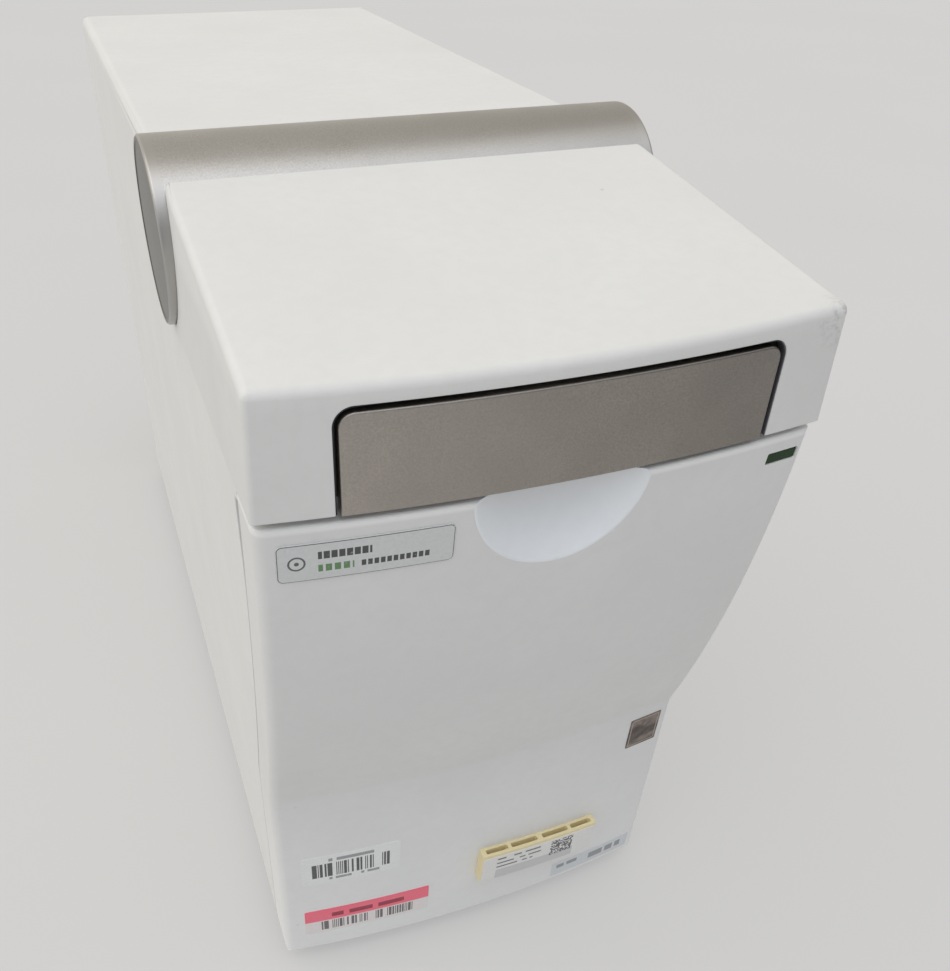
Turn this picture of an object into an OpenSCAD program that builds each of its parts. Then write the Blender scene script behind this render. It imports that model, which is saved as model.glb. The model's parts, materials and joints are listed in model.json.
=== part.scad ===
// Benchtop chip electrophoresis analyzer, closed lid, millimetres.
// X runs to the right as seen from the front, Y to the back, Z up.
// The origin is on the bench, under the middle of the instrument.

/* [Body] */
// Width of the main cover
body_w = 156.4; // [150:0.2:160]
// Overall depth, front of the lid to the back edge of the cover
body_d = 412; // [400:1:424]
// Height of the cover's top above the bench
cover_top = 283; // [280:1:284]
// Height of the cover's and the front panel's lower edge
skirt_z = 9; // [8:0.5:12]
// Wall thickness of the moulded covers
wall = 2.6; // [2.2:0.1:3]
// Radius of the cover's long top edges
cover_edge_r = 4; // [3:0.5:5]

/* [Front panel] */
// Height at which the panel's face ends and its rounded top edge begins
panel_top = 232.4; // [231:0.2:232.4]
// Radius of the panel's rounded top edge
panel_round = 2.6; // [2:0.1:2.8]
// Height of the crease between the upright foot and the curved face
crease_z = 102; // [95:1:108]
// How far the upright foot of the panel stands behind the lid's front
foot_setback = 23.2; // [21:0.2:25]
// How far the panel's top edge stands behind the lid's front
top_setback = 1.4; // [1:0.2:2]
// Radius of the curved face, seen from the side
face_r = 500; // [450:10:560]
// Radius of the bow of the whole front, seen from above
bow_r = 568; // [540:4:600]
// How far the panel wraps onto each side
wrap = 18; // [15:0.5:20]
// Half width of the finger scoop at the panel's top edge
scoop_half_w = 25; // [22:0.5:27]
// Depth of the finger scoop
scoop_depth = 7; // [6:0.5:8]

/* [Lid] */
// Height of the lid's lower edge
lid_z = 236; // [235.6:0.1:236.4]
// Height of the lid's top at its front
lid_front_top = 268; // [266:0.5:270]
// Slope of the lid's top, degrees
lid_slope = 7.3; // [6.5:0.1:7.6]
// Width of the lid at its lower edge
lid_w = 157.6; // [156.6:0.2:158]
// Draft of the lid's sides, degrees
lid_draft = 2; // [1:0.5:2.5]
// Half width of the opening for the grip plate
grip_gap_half_w = 59; // [57:0.5:60]
// Height of the top of that opening
grip_gap_top = 263.6; // [262:0.2:264]
// Black gap round the grip plate
grip_gap = 1.6; // [1.2:0.1:2]

/* [Hinge] */
// Distance of the hinge axis behind the lid's front
hinge_back = 130.5; // [129:0.5:132]
// Height of the hinge axis
hinge_z = 262; // [261.5:0.5:262]
// Radius of the hinge roller
roller_r = 28; // [27.5:0.5:28]
// Overall length of the roller over its end caps
roller_len = 162; // [161:0.5:164]
// Fillet on the end caps
cap_fillet = 1; // [0.8:0.1:1.2]
// Radius of the hinge shaft
shaft_r = 6; // [5:0.5:7]

/* [Chip deck] */
// Distance of the chip's centre behind the lid's front
chip_back = 58; // [56:1:60]
// Side of the square chip recess
chip_well = 52; // [48:1:54]
// Depth of the chip recess
chip_well_depth = 5; // [4.5:0.5:6]
// Height of the deck's upper face
deck_z = 231; // [230:0.5:231]
// Travel of the chip selector
selector_travel = 12; // [8:1:14]

/* [Back panel] */
// Side of the square fan frame
fan_size = 60; // [50:2:60]
// Number of fan blades
fan_blades = 7; // [5:1:9]

/* [Hidden] */
$fn = 64;
eps = 0.01;

front_y = -body_d / 2;
back_y = body_d / 2;
half_w = body_w / 2;
far = 400;
seam_gap = 0.4;

// Bow of the front: every front surface is swung about this upright axis.
bow_axis_y = front_y + bow_r;

// Side view of the front panel: an upright foot, a crease, then an arc.
foot_y = front_y + foot_setback;
top_y = front_y + top_setback;
chord = [top_y - foot_y, panel_top - crease_z];
chord_len = norm(chord);
chord_lean = atan2(-chord[0], chord[1]);
arc_half = asin(chord_len / 2 / face_r);
arc_steps = 12;
top_lean = chord_lean - arc_half;
arc_centre = [top_y + face_r * cos(top_lean), panel_top + face_r * sin(top_lean)];
function face_point(t) = let (lean = chord_lean + arc_half - 2 * arc_half * t)
    [arc_centre[0] - face_r * cos(lean), arc_centre[1] - face_r * sin(lean)];
face_line = concat([[foot_y, skirt_z]], [for (i = [0:arc_steps]) face_point(i / arc_steps)]);

// Rounded top edge of the front panel and the ledge behind it.
ledge = 12;
rim_top = panel_top + panel_round;
rim_line = [for (a = [30:30:90]) [top_y + panel_round * (1 - cos(a)), panel_top + panel_round * sin(a)]];

// Badge and labels on the front panel: left, right, bottom and top edges, and thickness.
badge_area = [-73.4, -29.2, 216.8, 228.4];
foil_area = [59.6, 73.6, 82.6, 98.4];
barcode_area = [-70, -33, 52.4, 69.4];
asset_area = [-70.2, -20.8, 19, 34.6];
service_area = [35.6, 74.2, 11, 20];
badge_t = 0.5;
label_t = 0.15;

// Slotted strip stuck on the front panel a little out of level: centre, size and slots.
strip_pos = [24.6, 40];
strip_w = 51;
strip_h = 16.4;
strip_t = 4.2;
strip_tilt = 3;
strip_wall = 1.2;
strip_slot_depth = 5;
strip_slots = [[-23.4, -14.2], [-12.6, -1.2], [1.2, 12.6], [14.2, 23.4]];
card_t = 0.2;
card_margin = 0.5;

// Finger scoop: a dish cut from a ball.
scoop_r = (scoop_half_w * scoop_half_w + scoop_depth * scoop_depth) / 2 / scoop_depth;
scoop_wall = 1.6;
scoop_back = 14;

// Status lens and its lamp board behind the panel.
lens_x0 = 64.4;
lens_x1 = 75;
lens_z0 = 224.4;
lens_z1 = 228;
lamp_pos = [69.5, 226];
lamp_board_back = 12;

// Lid outline.
lid_half_w = lid_w / 2;
lid_lean = 2.5;
sky = 300;
grip_bottom = lid_z - 0.4;
function lid_top_z(y) = lid_front_top + (y - front_y) * tan(lid_slope);
function lid_side(z) = lid_half_w - (z - lid_z) * tan(lid_draft);
function lid_front(z) = front_y + (z - lid_z) * tan(lid_lean);

// Hinge.
axis_y = front_y + hinge_back;
roller_gap = 0.8;
roller_wall = 2.5;
lid_to_roller = 0.3;
roller_screw_len = roller_wall + lid_to_roller + wall + 2;
cap_thick = 3.5;
cap_in = roller_len / 2 - cap_thick;
bracket_x = 62;
bracket_t = 4;
bracket_angle = -45;
bracket_w = 10;
bracket_len = 52;
tube_open_from = -59;
tube_open_to = 36;
bush_r = 12;
bush_in = 70.5;
bush_gap = 0.05;

// Chip deck.
chip_y = front_y + chip_back;
deck_t = 2.5;
deck_half_w = half_w - wall - 0.8;
deck_front = front_y + 17;
deck_back = axis_y - roller_r - 4;
mount_side = chip_well + 16;
mount_h = 14;
optics_bore_r = 6;
selector_x = 48;
selector_slot_l = 12 + selector_travel + 2;

// Lid furniture.
liner_z = lid_z + 1.2;
liner_t = 2.2;
cart_w = 72;
cart_d = 70;
cart_h = 13;
pin_pitch = 9.4;
pin_r = 0.7;
pin_tip = deck_z + 0.2;
lever_pivot = [-47, chip_y + 26];
lever_len = 20;
lever_t = 2.2;
lever_z = liner_z - lever_t - 0.4;

// Back panel.
rear_t = 1.6;
rear_y = back_y - 5;
fan_pos = [0, 215];
fan_depth = 25;
fan_screw = fan_size / 2 - 5;
inlet_pos = [-40, 44];
rocker_pos = [0, 44];
rocker_tip = 10;
port_x = 44;
port_z = [60, 96];
vent_rows = 8;
vent_pitch = 6;
vent_w = 36;
vent_x = 26;
vent_z = 122;
rear_screw_pos = [for (x = [-68, 68], z = [22, 150, 268]) [x, z]];

// Tray and feet.
tray_t = 1.5;
tray_z = skirt_z + 0.6;
tray_half_w = half_w - wall - 0.4;
tray_front = foot_y + 10;
tray_back = rear_y - 0.4;
tray_lip = 16;
foot_r = 9;
foot_pos = [[-58, -150], [58, -150], [-58, 180], [58, 180]];

// ---- helpers ----

// A flat outline in Y and Z, drawn out along X.
module along_x(x0, x1) {
    translate([x0, 0, 0]) rotate([90, 0, 90]) linear_extrude(x1 - x0) children();
}

// A flat outline in X and Z, drawn out along Y.
module along_y(y0, y1) {
    translate([0, y1, 0]) rotate([90, 0, 0]) linear_extrude(y1 - y0) children();
}

// A box from its low corner to its high corner.
module block(low, high) {
    translate(low) cube([high[0] - low[0], high[1] - low[1], high[2] - low[2]]);
}

// A box in flat view, centred in X, with all four corners rounded.
module round_rect(w, h, r) {
    translate([-w / 2 + r, -h / 2]) square([w - 2 * r, h]);
    translate([-w / 2, -h / 2 + r]) square([w, h - 2 * r]);
    for (x = [-1, 1], y = [-1, 1]) translate([x * (w / 2 - r), y * (h / 2 - r)]) circle(r, $fn = 32);
}

// A doorway outline: square foot, rounded top corners.
module arch(half, z0, z1, r) {
    translate([-half, z0]) square([2 * half, z1 - r - z0]);
    translate([-half + r, z1 - r - eps]) square([2 * half - 2 * r, r + eps]);
    for (x = [-1, 1]) translate([x * (half - r), z1 - r]) circle(r, $fn = 32);
}

// An outline of [y, z] points swung about the bow axis.
module bowed(points) {
    translate([0, bow_axis_y, 0]) rotate_extrude($fn = 360)
        polygon([for (p = points) [bow_axis_y - p[0], p[1]]]);
}

// A skin that follows the front panel's face, from depth d0 to depth d1 behind it.
module face_skin(d0, d1) {
    n = len(face_line);
    bowed(concat([for (p = face_line) [p[0] + d0, p[1]]],
        [for (i = [0:n - 1]) let (p = face_line[n - 1 - i]) [p[0] + d1, p[1]]]));
}

// A stretch of that skin, between two widths and two heights.
module face_patch(d0, d1, x0, x1, z0, z1) {
    intersection() {
        face_skin(d0, d1);
        block([x0, front_y - 5, z0], [x1, 0, z1]);
    }
}

// A cylinder along X on the hinge axis.
module hinge_cyl(r, x0, x1) {
    translate([x0, axis_y, hinge_z]) rotate([0, 90, 0]) cylinder(r = r, h = x1 - x0, $fn = 128);
}

// A pie slice about the hinge axis, drawn in Y and Z, between two angles from +Y.
module hinge_slice(r, from, to, x0, x1) {
    steps = 6;
    along_x(x0, x1) translate([axis_y, hinge_z])
        polygon(concat([[0, 0]], [for (i = [0:steps])
            let (a = from + (to - from) * i / steps) [r * cos(a), r * sin(a)]]));
}

module screw_head(r, h) {
    difference() {
        cylinder(r = r, h = h, $fn = 24);
        translate([0, 0, h / 2]) cylinder(r = r / 2, h = h, $fn = 6);
    }
}

// ---- base: tray, feet and covers ----

module chassis_tray() color("silver") difference() {
    union() {
        intersection() {
            block([-tray_half_w, front_y, tray_z], [tray_half_w, tray_back, tray_z + tray_t]);
            bowed([[foot_y + wall + 0.4, 0], [foot_y + wall + 0.4, 30], [back_y, 30], [back_y, 0]]);
        }
        for (s = [-1, 1])
            block([s > 0 ? tray_half_w - tray_t : -tray_half_w, tray_front, tray_z],
                [s > 0 ? tray_half_w : -tray_half_w + tray_t, tray_back, tray_z + tray_lip]);
        block([-tray_half_w, tray_front, tray_z], [tray_half_w, tray_front + tray_t, tray_z + tray_lip]);
    }
    for (p = foot_pos) translate([p[0], p[1], 0]) cylinder(r = 3, h = far);
    for (i = [0:11]) block([-30, -60 + i * 12, 0], [30, -55 + i * 12, tray_z + tray_t + 1]);
}

module foot(i) color("dimgray") translate([foot_pos[i][0], foot_pos[i][1], 0]) {
    difference() {
        rotate_extrude() polygon([[0, 0], [foot_r - 1, 0], [foot_r, 1], [foot_r, tray_z - 1],
            [foot_r - 1, tray_z], [0, tray_z]]);
        translate([0, 0, -eps]) cylinder(r = 4.5, h = 3, $fn = 32);
    }
    translate([0, 0, tray_z - eps]) cylinder(r = 3, h = tray_t + 3, $fn = 32);
}

// The cover's section, upright walls and a roof with rounded edges.
module cover_section(inset, z0) {
    arch(half_w - inset, z0, cover_top - inset, cover_edge_r - inset / 2);
}

module main_cover() color("whitesmoke") difference() {
    along_y(front_y, back_y) cover_section(0, skirt_z);
    along_y(front_y - 1, back_y + 1) cover_section(wall, 0);
    front_room();
    block([-far, front_y - 5, lid_z - seam_gap], [far, axis_y, far]);
    hinge_cyl(roller_r + roller_gap, -far / 2, far / 2);
}

// Everything ahead of the seam between the front panel and the cover.
module front_room() {
    bowed(concat([[front_y - 20, 0]], [[foot_y + wrap + seam_gap, 0]],
        [for (p = face_line) [p[0] + wrap + seam_gap, p[1]]],
        [[top_y + wrap + seam_gap, sky], [front_y - 20, sky]]));
}

// The panel's face and rounded top edge, with a skin of depth t and a ledge behind the edge.
module panel_body(t, ledge) {
    n = len(face_line);
    bowed(concat(face_line, rim_line, [[top_y + ledge, rim_top], [top_y + ledge, panel_top]],
        [for (i = [t < ledge ? 0 : 1:n - 1]) let (p = face_line[n - 1 - i]) [p[0] + t, p[1]]]));
}

module front_panel() color("gainsboro") difference() {
    union() {
        intersection() {
            panel_body(wall, ledge);
            block([-half_w, front_y - 5, 0], [half_w, 0, rim_top + 5]);
        }
        for (s = [-1, 1]) intersection() {
            panel_body(wrap, wrap);
            block([s > 0 ? half_w - wall : -half_w, front_y - 5, 0],
                [s > 0 ? half_w : -half_w + wall, 0, rim_top + 5]);
        }
    }
    scoop_ball(scoop_r);
    block([lens_x0, front_y - 5, lens_z0], [lens_x1, 0, lens_z1]);
}

module scoop_ball(r) {
    translate([0, top_y - scoop_r + scoop_depth, panel_top]) sphere(r, $fn = 96);
}

// The dish closes the scoop behind the panel's skin.
module finger_scoop() color("white") difference() {
    intersection() {
        scoop_ball(scoop_r + scoop_wall);
        face_skin(wall, scoop_back);
    }
    scoop_ball(scoop_r);
}

module status_lens() color("darkgreen") face_patch(0.2, wall + 1, lens_x0, lens_x1, lens_z0, lens_z1);

module status_led_board() color("green") {
    block([58, top_y + lamp_board_back, 216], [74, top_y + lamp_board_back + 1.6, 228]);
    translate([lamp_pos[0], top_y + lamp_board_back, lamp_pos[1]]) rotate([90, 0, 0])
        cylinder(r = 1.5, h = 3, $fn = 24);
}

// ---- badge and labels on the front panel ----

// A thin label over an area given by its left, right, bottom and top edges.
module label(area, t) {
    face_patch(-t, 0, area[0], area[1], area[2], area[3]);
}

module name_badge() color("lightgray") label(badge_area, badge_t);

module foil_seal() color("gray") label(foil_area, label_t);

module barcode_label() color("white") label(barcode_area, label_t);

module asset_label() color("pink") label(asset_area, label_t);

module service_label() color("ivory") label(service_area, label_t);

// A bowed block square to the strip, placed by its edges from the strip's centre.
module strip_patch(d0, d1, x0, x1, z0, z1) {
    intersection() {
        face_skin(d0, d1);
        translate([strip_pos[0], 0, strip_pos[1]]) rotate([0, strip_tilt, 0])
            block([x0, front_y - 5, z0], [x1, 0, z1]);
    }
}

module slot_strip() color("wheat") difference() {
    strip_patch(-strip_t, 0, -strip_w / 2, strip_w / 2, -strip_h / 2, strip_h / 2);
    for (x = strip_slots)
        strip_patch(-strip_t + strip_wall, -strip_wall, x[0], x[1],
            strip_h / 2 - strip_slot_depth, strip_h);
}

module slot_strip_card() color("white")
    strip_patch(-strip_t - card_t, -strip_t, card_margin - strip_w / 2, strip_w / 2 - card_margin,
        card_margin - strip_h / 2, strip_h / 2 - 1.6);

// ---- back panel ----

module rear_panel() color("lightgray") difference() {
    along_y(rear_y, rear_y + rear_t)
        arch(half_w - wall - 0.3, tray_z, cover_top - wall - 0.3, cover_edge_r - wall / 2);
    translate([fan_pos[0], rear_y, fan_pos[1]]) rotate([90, 0, 0])
        cylinder(r = fan_size / 2 - 2, h = 20, center = true);
    block([inlet_pos[0] - 24, rear_y - 1, inlet_pos[1] - 14.2],
        [inlet_pos[0] + 24, back_y, inlet_pos[1] + 14.2]);
    block([rocker_pos[0] - 9.6, rear_y - 1, rocker_pos[1] - 13.6],
        [rocker_pos[0] + 9.6, back_y, rocker_pos[1] + 13.6]);
    for (z = port_z) block([port_x - 12.2, rear_y - 1, z - 6.1], [port_x + 12.2, back_y, z + 6.1]);
    for (x = [-1, 1], z = [-1, 1])
        translate([fan_pos[0] + x * fan_screw, 0, fan_pos[1] + z * fan_screw])
            rotate([-90, 0, 0]) cylinder(r = 1.7, h = far, $fn = 24);
    for (i = [0:vent_rows - 1], s = [-1, 1])
        translate([s * vent_x, rear_y, vent_z + i * vent_pitch])
            along_y(-1, 4) round_rect(vent_w, 2.4, 1.1);
}

module rear_screws() color("silver")
    for (p = rear_screw_pos)
        translate([p[0], rear_y + rear_t, p[1]]) rotate([-90, 0, 0]) screw_head(3, 2);

// Power entry: three-pole mains inlet, fuse compartment and switch housing on one flange.
module power_inlet() color("dimgray") {
    translate([inlet_pos[0], rear_y, inlet_pos[1]]) {
        difference() {
            block([-23.6, -26, -14], [23.6, rear_t + eps, 14]);
            entry_pockets();
        }
        for (p = [[-16, -2], [-2, -2], [-9, 2]])
            translate([p[0], 0, p[1]]) block([-1, -20, -2], [1, -5, 2]);
    }
    translate([0, rear_y, 0]) difference() {
        translate([(inlet_pos[0] + rocker_pos[0]) / 2 - 6, 0, inlet_pos[1]])
            along_y(rear_t, rear_t + 2.4) round_rect(80, 32, 3);
        translate([inlet_pos[0], 0, inlet_pos[1]]) entry_pockets();
        translate([rocker_pos[0], 0, rocker_pos[1]]) rocker_pocket();
    }
    translate([rocker_pos[0], rear_y, rocker_pos[1]]) {
        difference() {
            block([-9.4, -20, -13.4], [9.4, rear_t + eps, 13.4]);
            rocker_pocket();
        }
        for (s = [-1, 1]) translate([s > 0 ? 5.4 : -7.3, -4, 0]) rotate([0, 90, 0])
            cylinder(r = 1.5, h = 1.9, $fn = 24);
    }
}

// Socket and fuse pockets, from the flange's outer face inwards.
module entry_pockets() {
    translate([-9, 0, 0]) along_y(-16, 9) round_rect(24, 16.6, 3);
    block([7, -20, -9.4], [20.4, 9, 9.4]);
}

module rocker_pocket() {
    block([-7.2, -14, -11.2], [7.2, 9, 11.2]);
}

module fuse_drawer() color("black") translate([inlet_pos[0], rear_y, inlet_pos[1]]) {
    block([7.4, -19.4, -9], [20, rear_t + 2.8, 9]);
    block([9.4, rear_t + 2.7, -2], [18, rear_t + 3.4, 2]);
}

module power_rocker() color("black") translate([rocker_pos[0], rear_y - 4, rocker_pos[1]])
    rotate([rocker_tip, 0, 0]) difference() {
        along_x(-6.9, 6.9) polygon([[-6, -4], [-6, 4], [2, 9.4], [7.2, 9.4], [5.2, 0],
            [7.2, -9.4], [2, -9.4]]);
        for (s = [-1, 1]) translate([s > 0 ? 5.2 : -7.4, 0, 0]) rotate([0, 90, 0])
            cylinder(r = 1.56, h = 2.2, $fn = 24);
    }

// Nine-way data connector with its metal shell and jack posts.
module data_port(z) color("gainsboro") translate([port_x, rear_y, z]) {
    along_y(rear_t, rear_t + 0.8) round_rect(30.8, 12.5, 2);
    block([-12, -10, -6], [12, rear_t + eps, 6]);
    difference() {
        along_y(rear_t, rear_t + 3.2) polygon([[-8.6, 4.1], [8.6, 4.1], [7.2, -4.1], [-7.2, -4.1]]);
        for (i = [0:4]) translate([(i - 2) * 2.8, 0, 1.4]) port_pin();
        for (i = [0:3]) translate([(i - 1.5) * 2.8, 0, -1.4]) port_pin();
    }
    for (s = [-1, 1]) translate([s * 12.5, rear_t + 0.7, 0]) rotate([-90, 0, 0])
        cylinder(r = 2.3, h = 2.4, $fn = 6);
}

// Contact hole of the data connector.
module port_pin() {
    rotate([-90, 0, 0]) cylinder(r = 0.6, h = 9, $fn = 16);
}

module fan_frame() color("black") translate([fan_pos[0], rear_y, fan_pos[1]]) {
    difference() {
        along_y(-fan_depth, 0) round_rect(fan_size, fan_size, 4);
        translate([0, -2, 0]) rotate([90, 0, 0]) cylinder(r = fan_size / 2 - 2, h = far, center = true);
        for (x = [-1, 1], z = [-1, 1]) translate([x * fan_screw, 0, z * fan_screw])
            rotate([90, 0, 0]) cylinder(r = 1.8, h = far, center = true, $fn = 24);
    }
    for (a = [45:90:315]) rotate([0, a, 0])
        block([fan_size / 6, -fan_depth, -1.5], [fan_size / 2 - 1, -fan_depth + 2, 1.5]);
    difference() {
        translate([0, -fan_depth, 0]) rotate([-90, 0, 0]) cylinder(r = fan_size / 6 + 1, h = 2);
        translate([0, -fan_depth - 1, 0]) rotate([-90, 0, 0]) cylinder(r = 1.5, h = 4, $fn = 24);
    }
    difference() {
        translate([0, -fan_depth + 2 - eps, 0]) rotate([-90, 0, 0]) cylinder(r = 4, h = 6, $fn = 32);
        translate([0, -fan_depth, 0]) rotate([-90, 0, 0]) cylinder(r = 1.56, h = 20, $fn = 24);
    }
}

module fan_rotor() color("darkslategray") translate([fan_pos[0], rear_y, fan_pos[1]]) {
    difference() {
        translate([0, -20, 0]) rotate([-90, 0, 0]) cylinder(r = fan_size / 6, h = 16.5);
        translate([0, -21, 0]) rotate([-90, 0, 0]) cylinder(r = fan_size / 6 - 1.5, h = 15);
    }
    translate([0, -20, 0]) rotate([-90, 0, 0]) cylinder(r = 1.5, h = 15, $fn = 24);
    for (i = [0:fan_blades - 1]) rotate([0, i * 360 / fan_blades, 0])
        translate([fan_size / 6 - 0.6, -12, 0]) rotate([-35, 0, 0])
            block([0, -7.4, -0.7], [fan_size / 3 - 3.4, 7.4, 0.7]);
}

module fan_guard() color("silver") translate([fan_pos[0], rear_y + rear_t, fan_pos[1]]) {
    for (r = [9:7:fan_size / 2 - 1]) translate([0, 1.6, 0]) rotate([90, 0, 0])
        rotate_extrude() translate([r, 0]) circle(0.8, $fn = 16);
    for (a = [0:60:120]) rotate([0, a, 0]) translate([0, 1.6, 0]) rotate([0, 90, 0])
        cylinder(r = 0.7, h = fan_size - 4, center = true, $fn = 16);
    for (x = [-1, 1], z = [-1, 1]) translate([x * fan_screw, 0, z * fan_screw]) {
        rotate([-90, 0, 0]) cylinder(r = 2.8, h = 2.2, $fn = 24);
        rotate([90, 0, 0]) cylinder(r = 1.7, h = rear_t + 6, $fn = 24);
    }
}

// ---- chip deck ----

module deck_plate() color("gainsboro") difference() {
    union() {
        intersection() {
            block([-deck_half_w, deck_front, deck_z - deck_t], [deck_half_w, deck_back, deck_z]);
            face_skin(14, 200);
        }
        for (s = [-1, 1]) block([s > 0 ? deck_half_w - 2 : -deck_half_w, deck_front + 12, deck_z - 12],
            [s > 0 ? deck_half_w : -deck_half_w + 2, deck_back, deck_z]);
        block([-deck_half_w, deck_back - 2, deck_z - 12], [deck_half_w, deck_back, deck_z]);
    }
    translate([0, chip_y, 0]) block([-mount_side / 2 - 0.4, -mount_side / 2 - 0.4, 0],
        [mount_side / 2 + 0.4, mount_side / 2 + 0.4, far]);
    translate([selector_x, chip_y, 0]) linear_extrude(far) round_rect(5, selector_slot_l, 2.4);
    for (p = deck_screw_pos) translate([p[0], p[1], 0]) cylinder(r = 1.6, h = far, $fn = 24);
}

deck_screw_pos = [for (x = [-66, 66], y = [deck_front + 16, deck_back - 8]) [x, y]];

module deck_screws() color("silver") for (p = deck_screw_pos) translate([p[0], p[1], deck_z]) {
    screw_head(3, 1.8);
    translate([0, 0, -10]) cylinder(r = 1.6, h = 10 + eps, $fn = 24);
}

module chip_mount() color("silver") translate([0, chip_y, deck_z]) difference() {
    translate([0, 0, -mount_h]) linear_extrude(mount_h) round_rect(mount_side, mount_side, 3);
    translate([0, 0, -chip_well_depth]) linear_extrude(mount_h) round_rect(chip_well, chip_well, 2);
    for (x = [-1, 1]) translate([x * chip_well / 2, 0, -chip_well_depth])
        cylinder(r = 8, h = mount_h, $fn = 48);
    translate([0, 0, -mount_h - 1]) cylinder(r = optics_bore_r, h = mount_h + 2);
    for (x = [-1, 1], y = [-1, 1])
        translate([x * (mount_side / 2 - 4), y * (mount_side / 2 - 4), -4])
            cylinder(r = 1.6, h = 5, $fn = 24);
}

module heater_plate() color("goldenrod") translate([0, chip_y, deck_z - mount_h - 3]) difference() {
    linear_extrude(3) round_rect(mount_side - 6, mount_side - 6, 2);
    translate([0, 0, -1]) cylinder(r = optics_bore_r + 3.4, h = 5);
}

module chip_selector() color("royalblue") translate([selector_x, chip_y - selector_travel / 2, deck_z]) {
    translate([0, 0, 0.3]) linear_extrude(2.6) round_rect(9, 14, 2);
    translate([0, 0, -deck_t - 0.2]) linear_extrude(deck_t + 0.6) round_rect(4.4, 11, 2);
    translate([0, 0, -deck_t - 2]) linear_extrude(1.9) round_rect(10, 14, 1);
}

module contact_block() color("dimgray") {
    block([-26, deck_back - 10, deck_z + eps], [26, deck_back - 3, deck_z + 3.4]);
    for (i = [0:15]) translate([-22.5 + 3 * i, deck_back - 6.5, deck_z + 3.3])
        cylinder(r = 0.7, h = 1.2, $fn = 16);
}

module lid_sensor() color("black") translate([-60, chip_y - 14, deck_z]) {
    linear_extrude(2.2) round_rect(8, 14, 2);
}

// ---- inside the base ----

shelf_z = 150;
shelf_half_w = 66;

module optics_shelf() color("gray") difference() {
    union() {
        block([-shelf_half_w, chip_y - 34, shelf_z - 2], [shelf_half_w, chip_y + 40, shelf_z]);
        for (x = [-shelf_half_w, shelf_half_w - 2])
            block([x, chip_y - 16, tray_z + tray_t], [x + 2, chip_y + 40, shelf_z]);
        for (x = [-shelf_half_w, shelf_half_w - 2])
            block([x, chip_y + 6, shelf_z - eps], [x + 2, chip_y + 30, deck_z - deck_t]);
    }
    for (x = [-1, 1]) translate([x * shelf_half_w, chip_y + 12, 80]) rotate([0, 90, 0])
        cylinder(r = 18, h = 20, center = true);
}

module optics_block() color("darkgray") difference() {
    union() {
        block([-36, chip_y - 28, shelf_z], [36, chip_y + 28, shelf_z + 44]);
        translate([0, chip_y, shelf_z + 44 - eps]) cylinder(r = 14, h = 8);
    }
    translate([0, chip_y, shelf_z + 8]) cylinder(r = 8, h = 60);
    translate([0, chip_y, shelf_z + 22]) rotate([-90, 0, 0]) cylinder(r = 8, h = 60, $fn = 48);
    translate([0, chip_y, shelf_z + 22]) rotate([0, 90, 0]) cylinder(r = 7, h = 60, $fn = 48);
}

module objective_lens() color("lightcyan") translate([0, chip_y, shelf_z + 44]) {
    difference() {
        cylinder(r = 8, h = 20);
        translate([0, 0, -1]) cylinder(r = 5, h = 30);
    }
    translate([0, 0, 14]) cylinder(r = 5, h = 3);
}

module laser_module() color("goldenrod") translate([0, chip_y + 12, shelf_z + 22]) {
    rotate([-90, 0, 0]) cylinder(r = 8, h = 34);
    translate([0, 34 - eps, 0]) rotate([-90, 0, 0]) cylinder(r = 12, h = 8);
}

module detector_module() color("seagreen") translate([14, chip_y, shelf_z + 22]) {
    rotate([0, 90, 0]) cylinder(r = 7, h = 22 + eps);
    block([22, -14, -12], [38, 14, 14]);
}

module main_board() color("darkgreen") difference() {
    block([68, -60, 34], [69.6, 160, 190]);
    for (y = [-52, 152], z = [42, 182])
        translate([60, y, z]) rotate([0, 90, 0]) cylinder(r = 1.7, h = 20, $fn = 24);
}

module board_parts() color("black") {
    for (p = [[-20, 70, 28], [30, 70, 28], [80, 70, 20], [-20, 130, 20], [30, 130, 34], [120, 120, 16]])
        block([65.4, p[0] - p[2] / 2, p[1] - p[2] / 2], [68, p[0] + p[2] / 2, p[1] + p[2] / 2]);
    for (y = [-10:22:136]) translate([68, y, 168]) rotate([0, -90, 0]) cylinder(r = 4, h = 9, $fn = 24);
    block([60, 110, 44], [68, 150, 52]);
}

module hv_module() color("slategray") {
    block([-56, -70, tray_z + tray_t], [-10, 20, 70]);
    for (i = [0:7]) block([-10 - eps, -64 + i * 10, 16], [-6, -60 + i * 10, 64]);
}

module power_supply() color("silver") difference() {
    block([-65.5, 60, tray_z + tray_t], [40, 150, 60]);
    for (i = [0:8]) block([-52 + i * 10, 59, 24], [-48 + i * 10, 151, 52]);
}

// Cable loom from the supply up to the board and the optics.
module wiring_loom() color("crimson") translate([-68.5, 70, 0]) {
    translate([0, 0, 20]) cylinder(r = 3, h = 124, $fn = 24);
    translate([0, 0, 144]) {
        sphere(3, $fn = 24);
        rotate([90, 0, 0]) cylinder(r = 3, h = 175, $fn = 24);
        rotate([0, 90, 0]) cylinder(r = 3, h = 136.5, $fn = 24);
    }
}

// ---- hinge ----

module hinge_bracket(s) color("gray") difference() {
    union() {
        along_x(s * bracket_x - bracket_t / 2, s * bracket_x + bracket_t / 2)
            translate([axis_y, hinge_z]) rotate(bracket_angle) translate([0, -bracket_w / 2])
                square([bracket_len, bracket_w]);
        hinge_cyl(shaft_r + 5, s * bracket_x - bracket_t / 2, s * bracket_x + bracket_t / 2);
        block([s * bracket_x - bracket_t / 2, axis_y + 26, tray_z + tray_t],
            [s * bracket_x + bracket_t / 2, axis_y + 46, hinge_z - 34]);
        block([s * bracket_x - bracket_t / 2, chip_y + 28, shelf_z],
            [s * bracket_x + bracket_t / 2, axis_y + 46, shelf_z + 16]);
    }
    hinge_cyl(shaft_r, -far / 2, far / 2);
}

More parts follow.
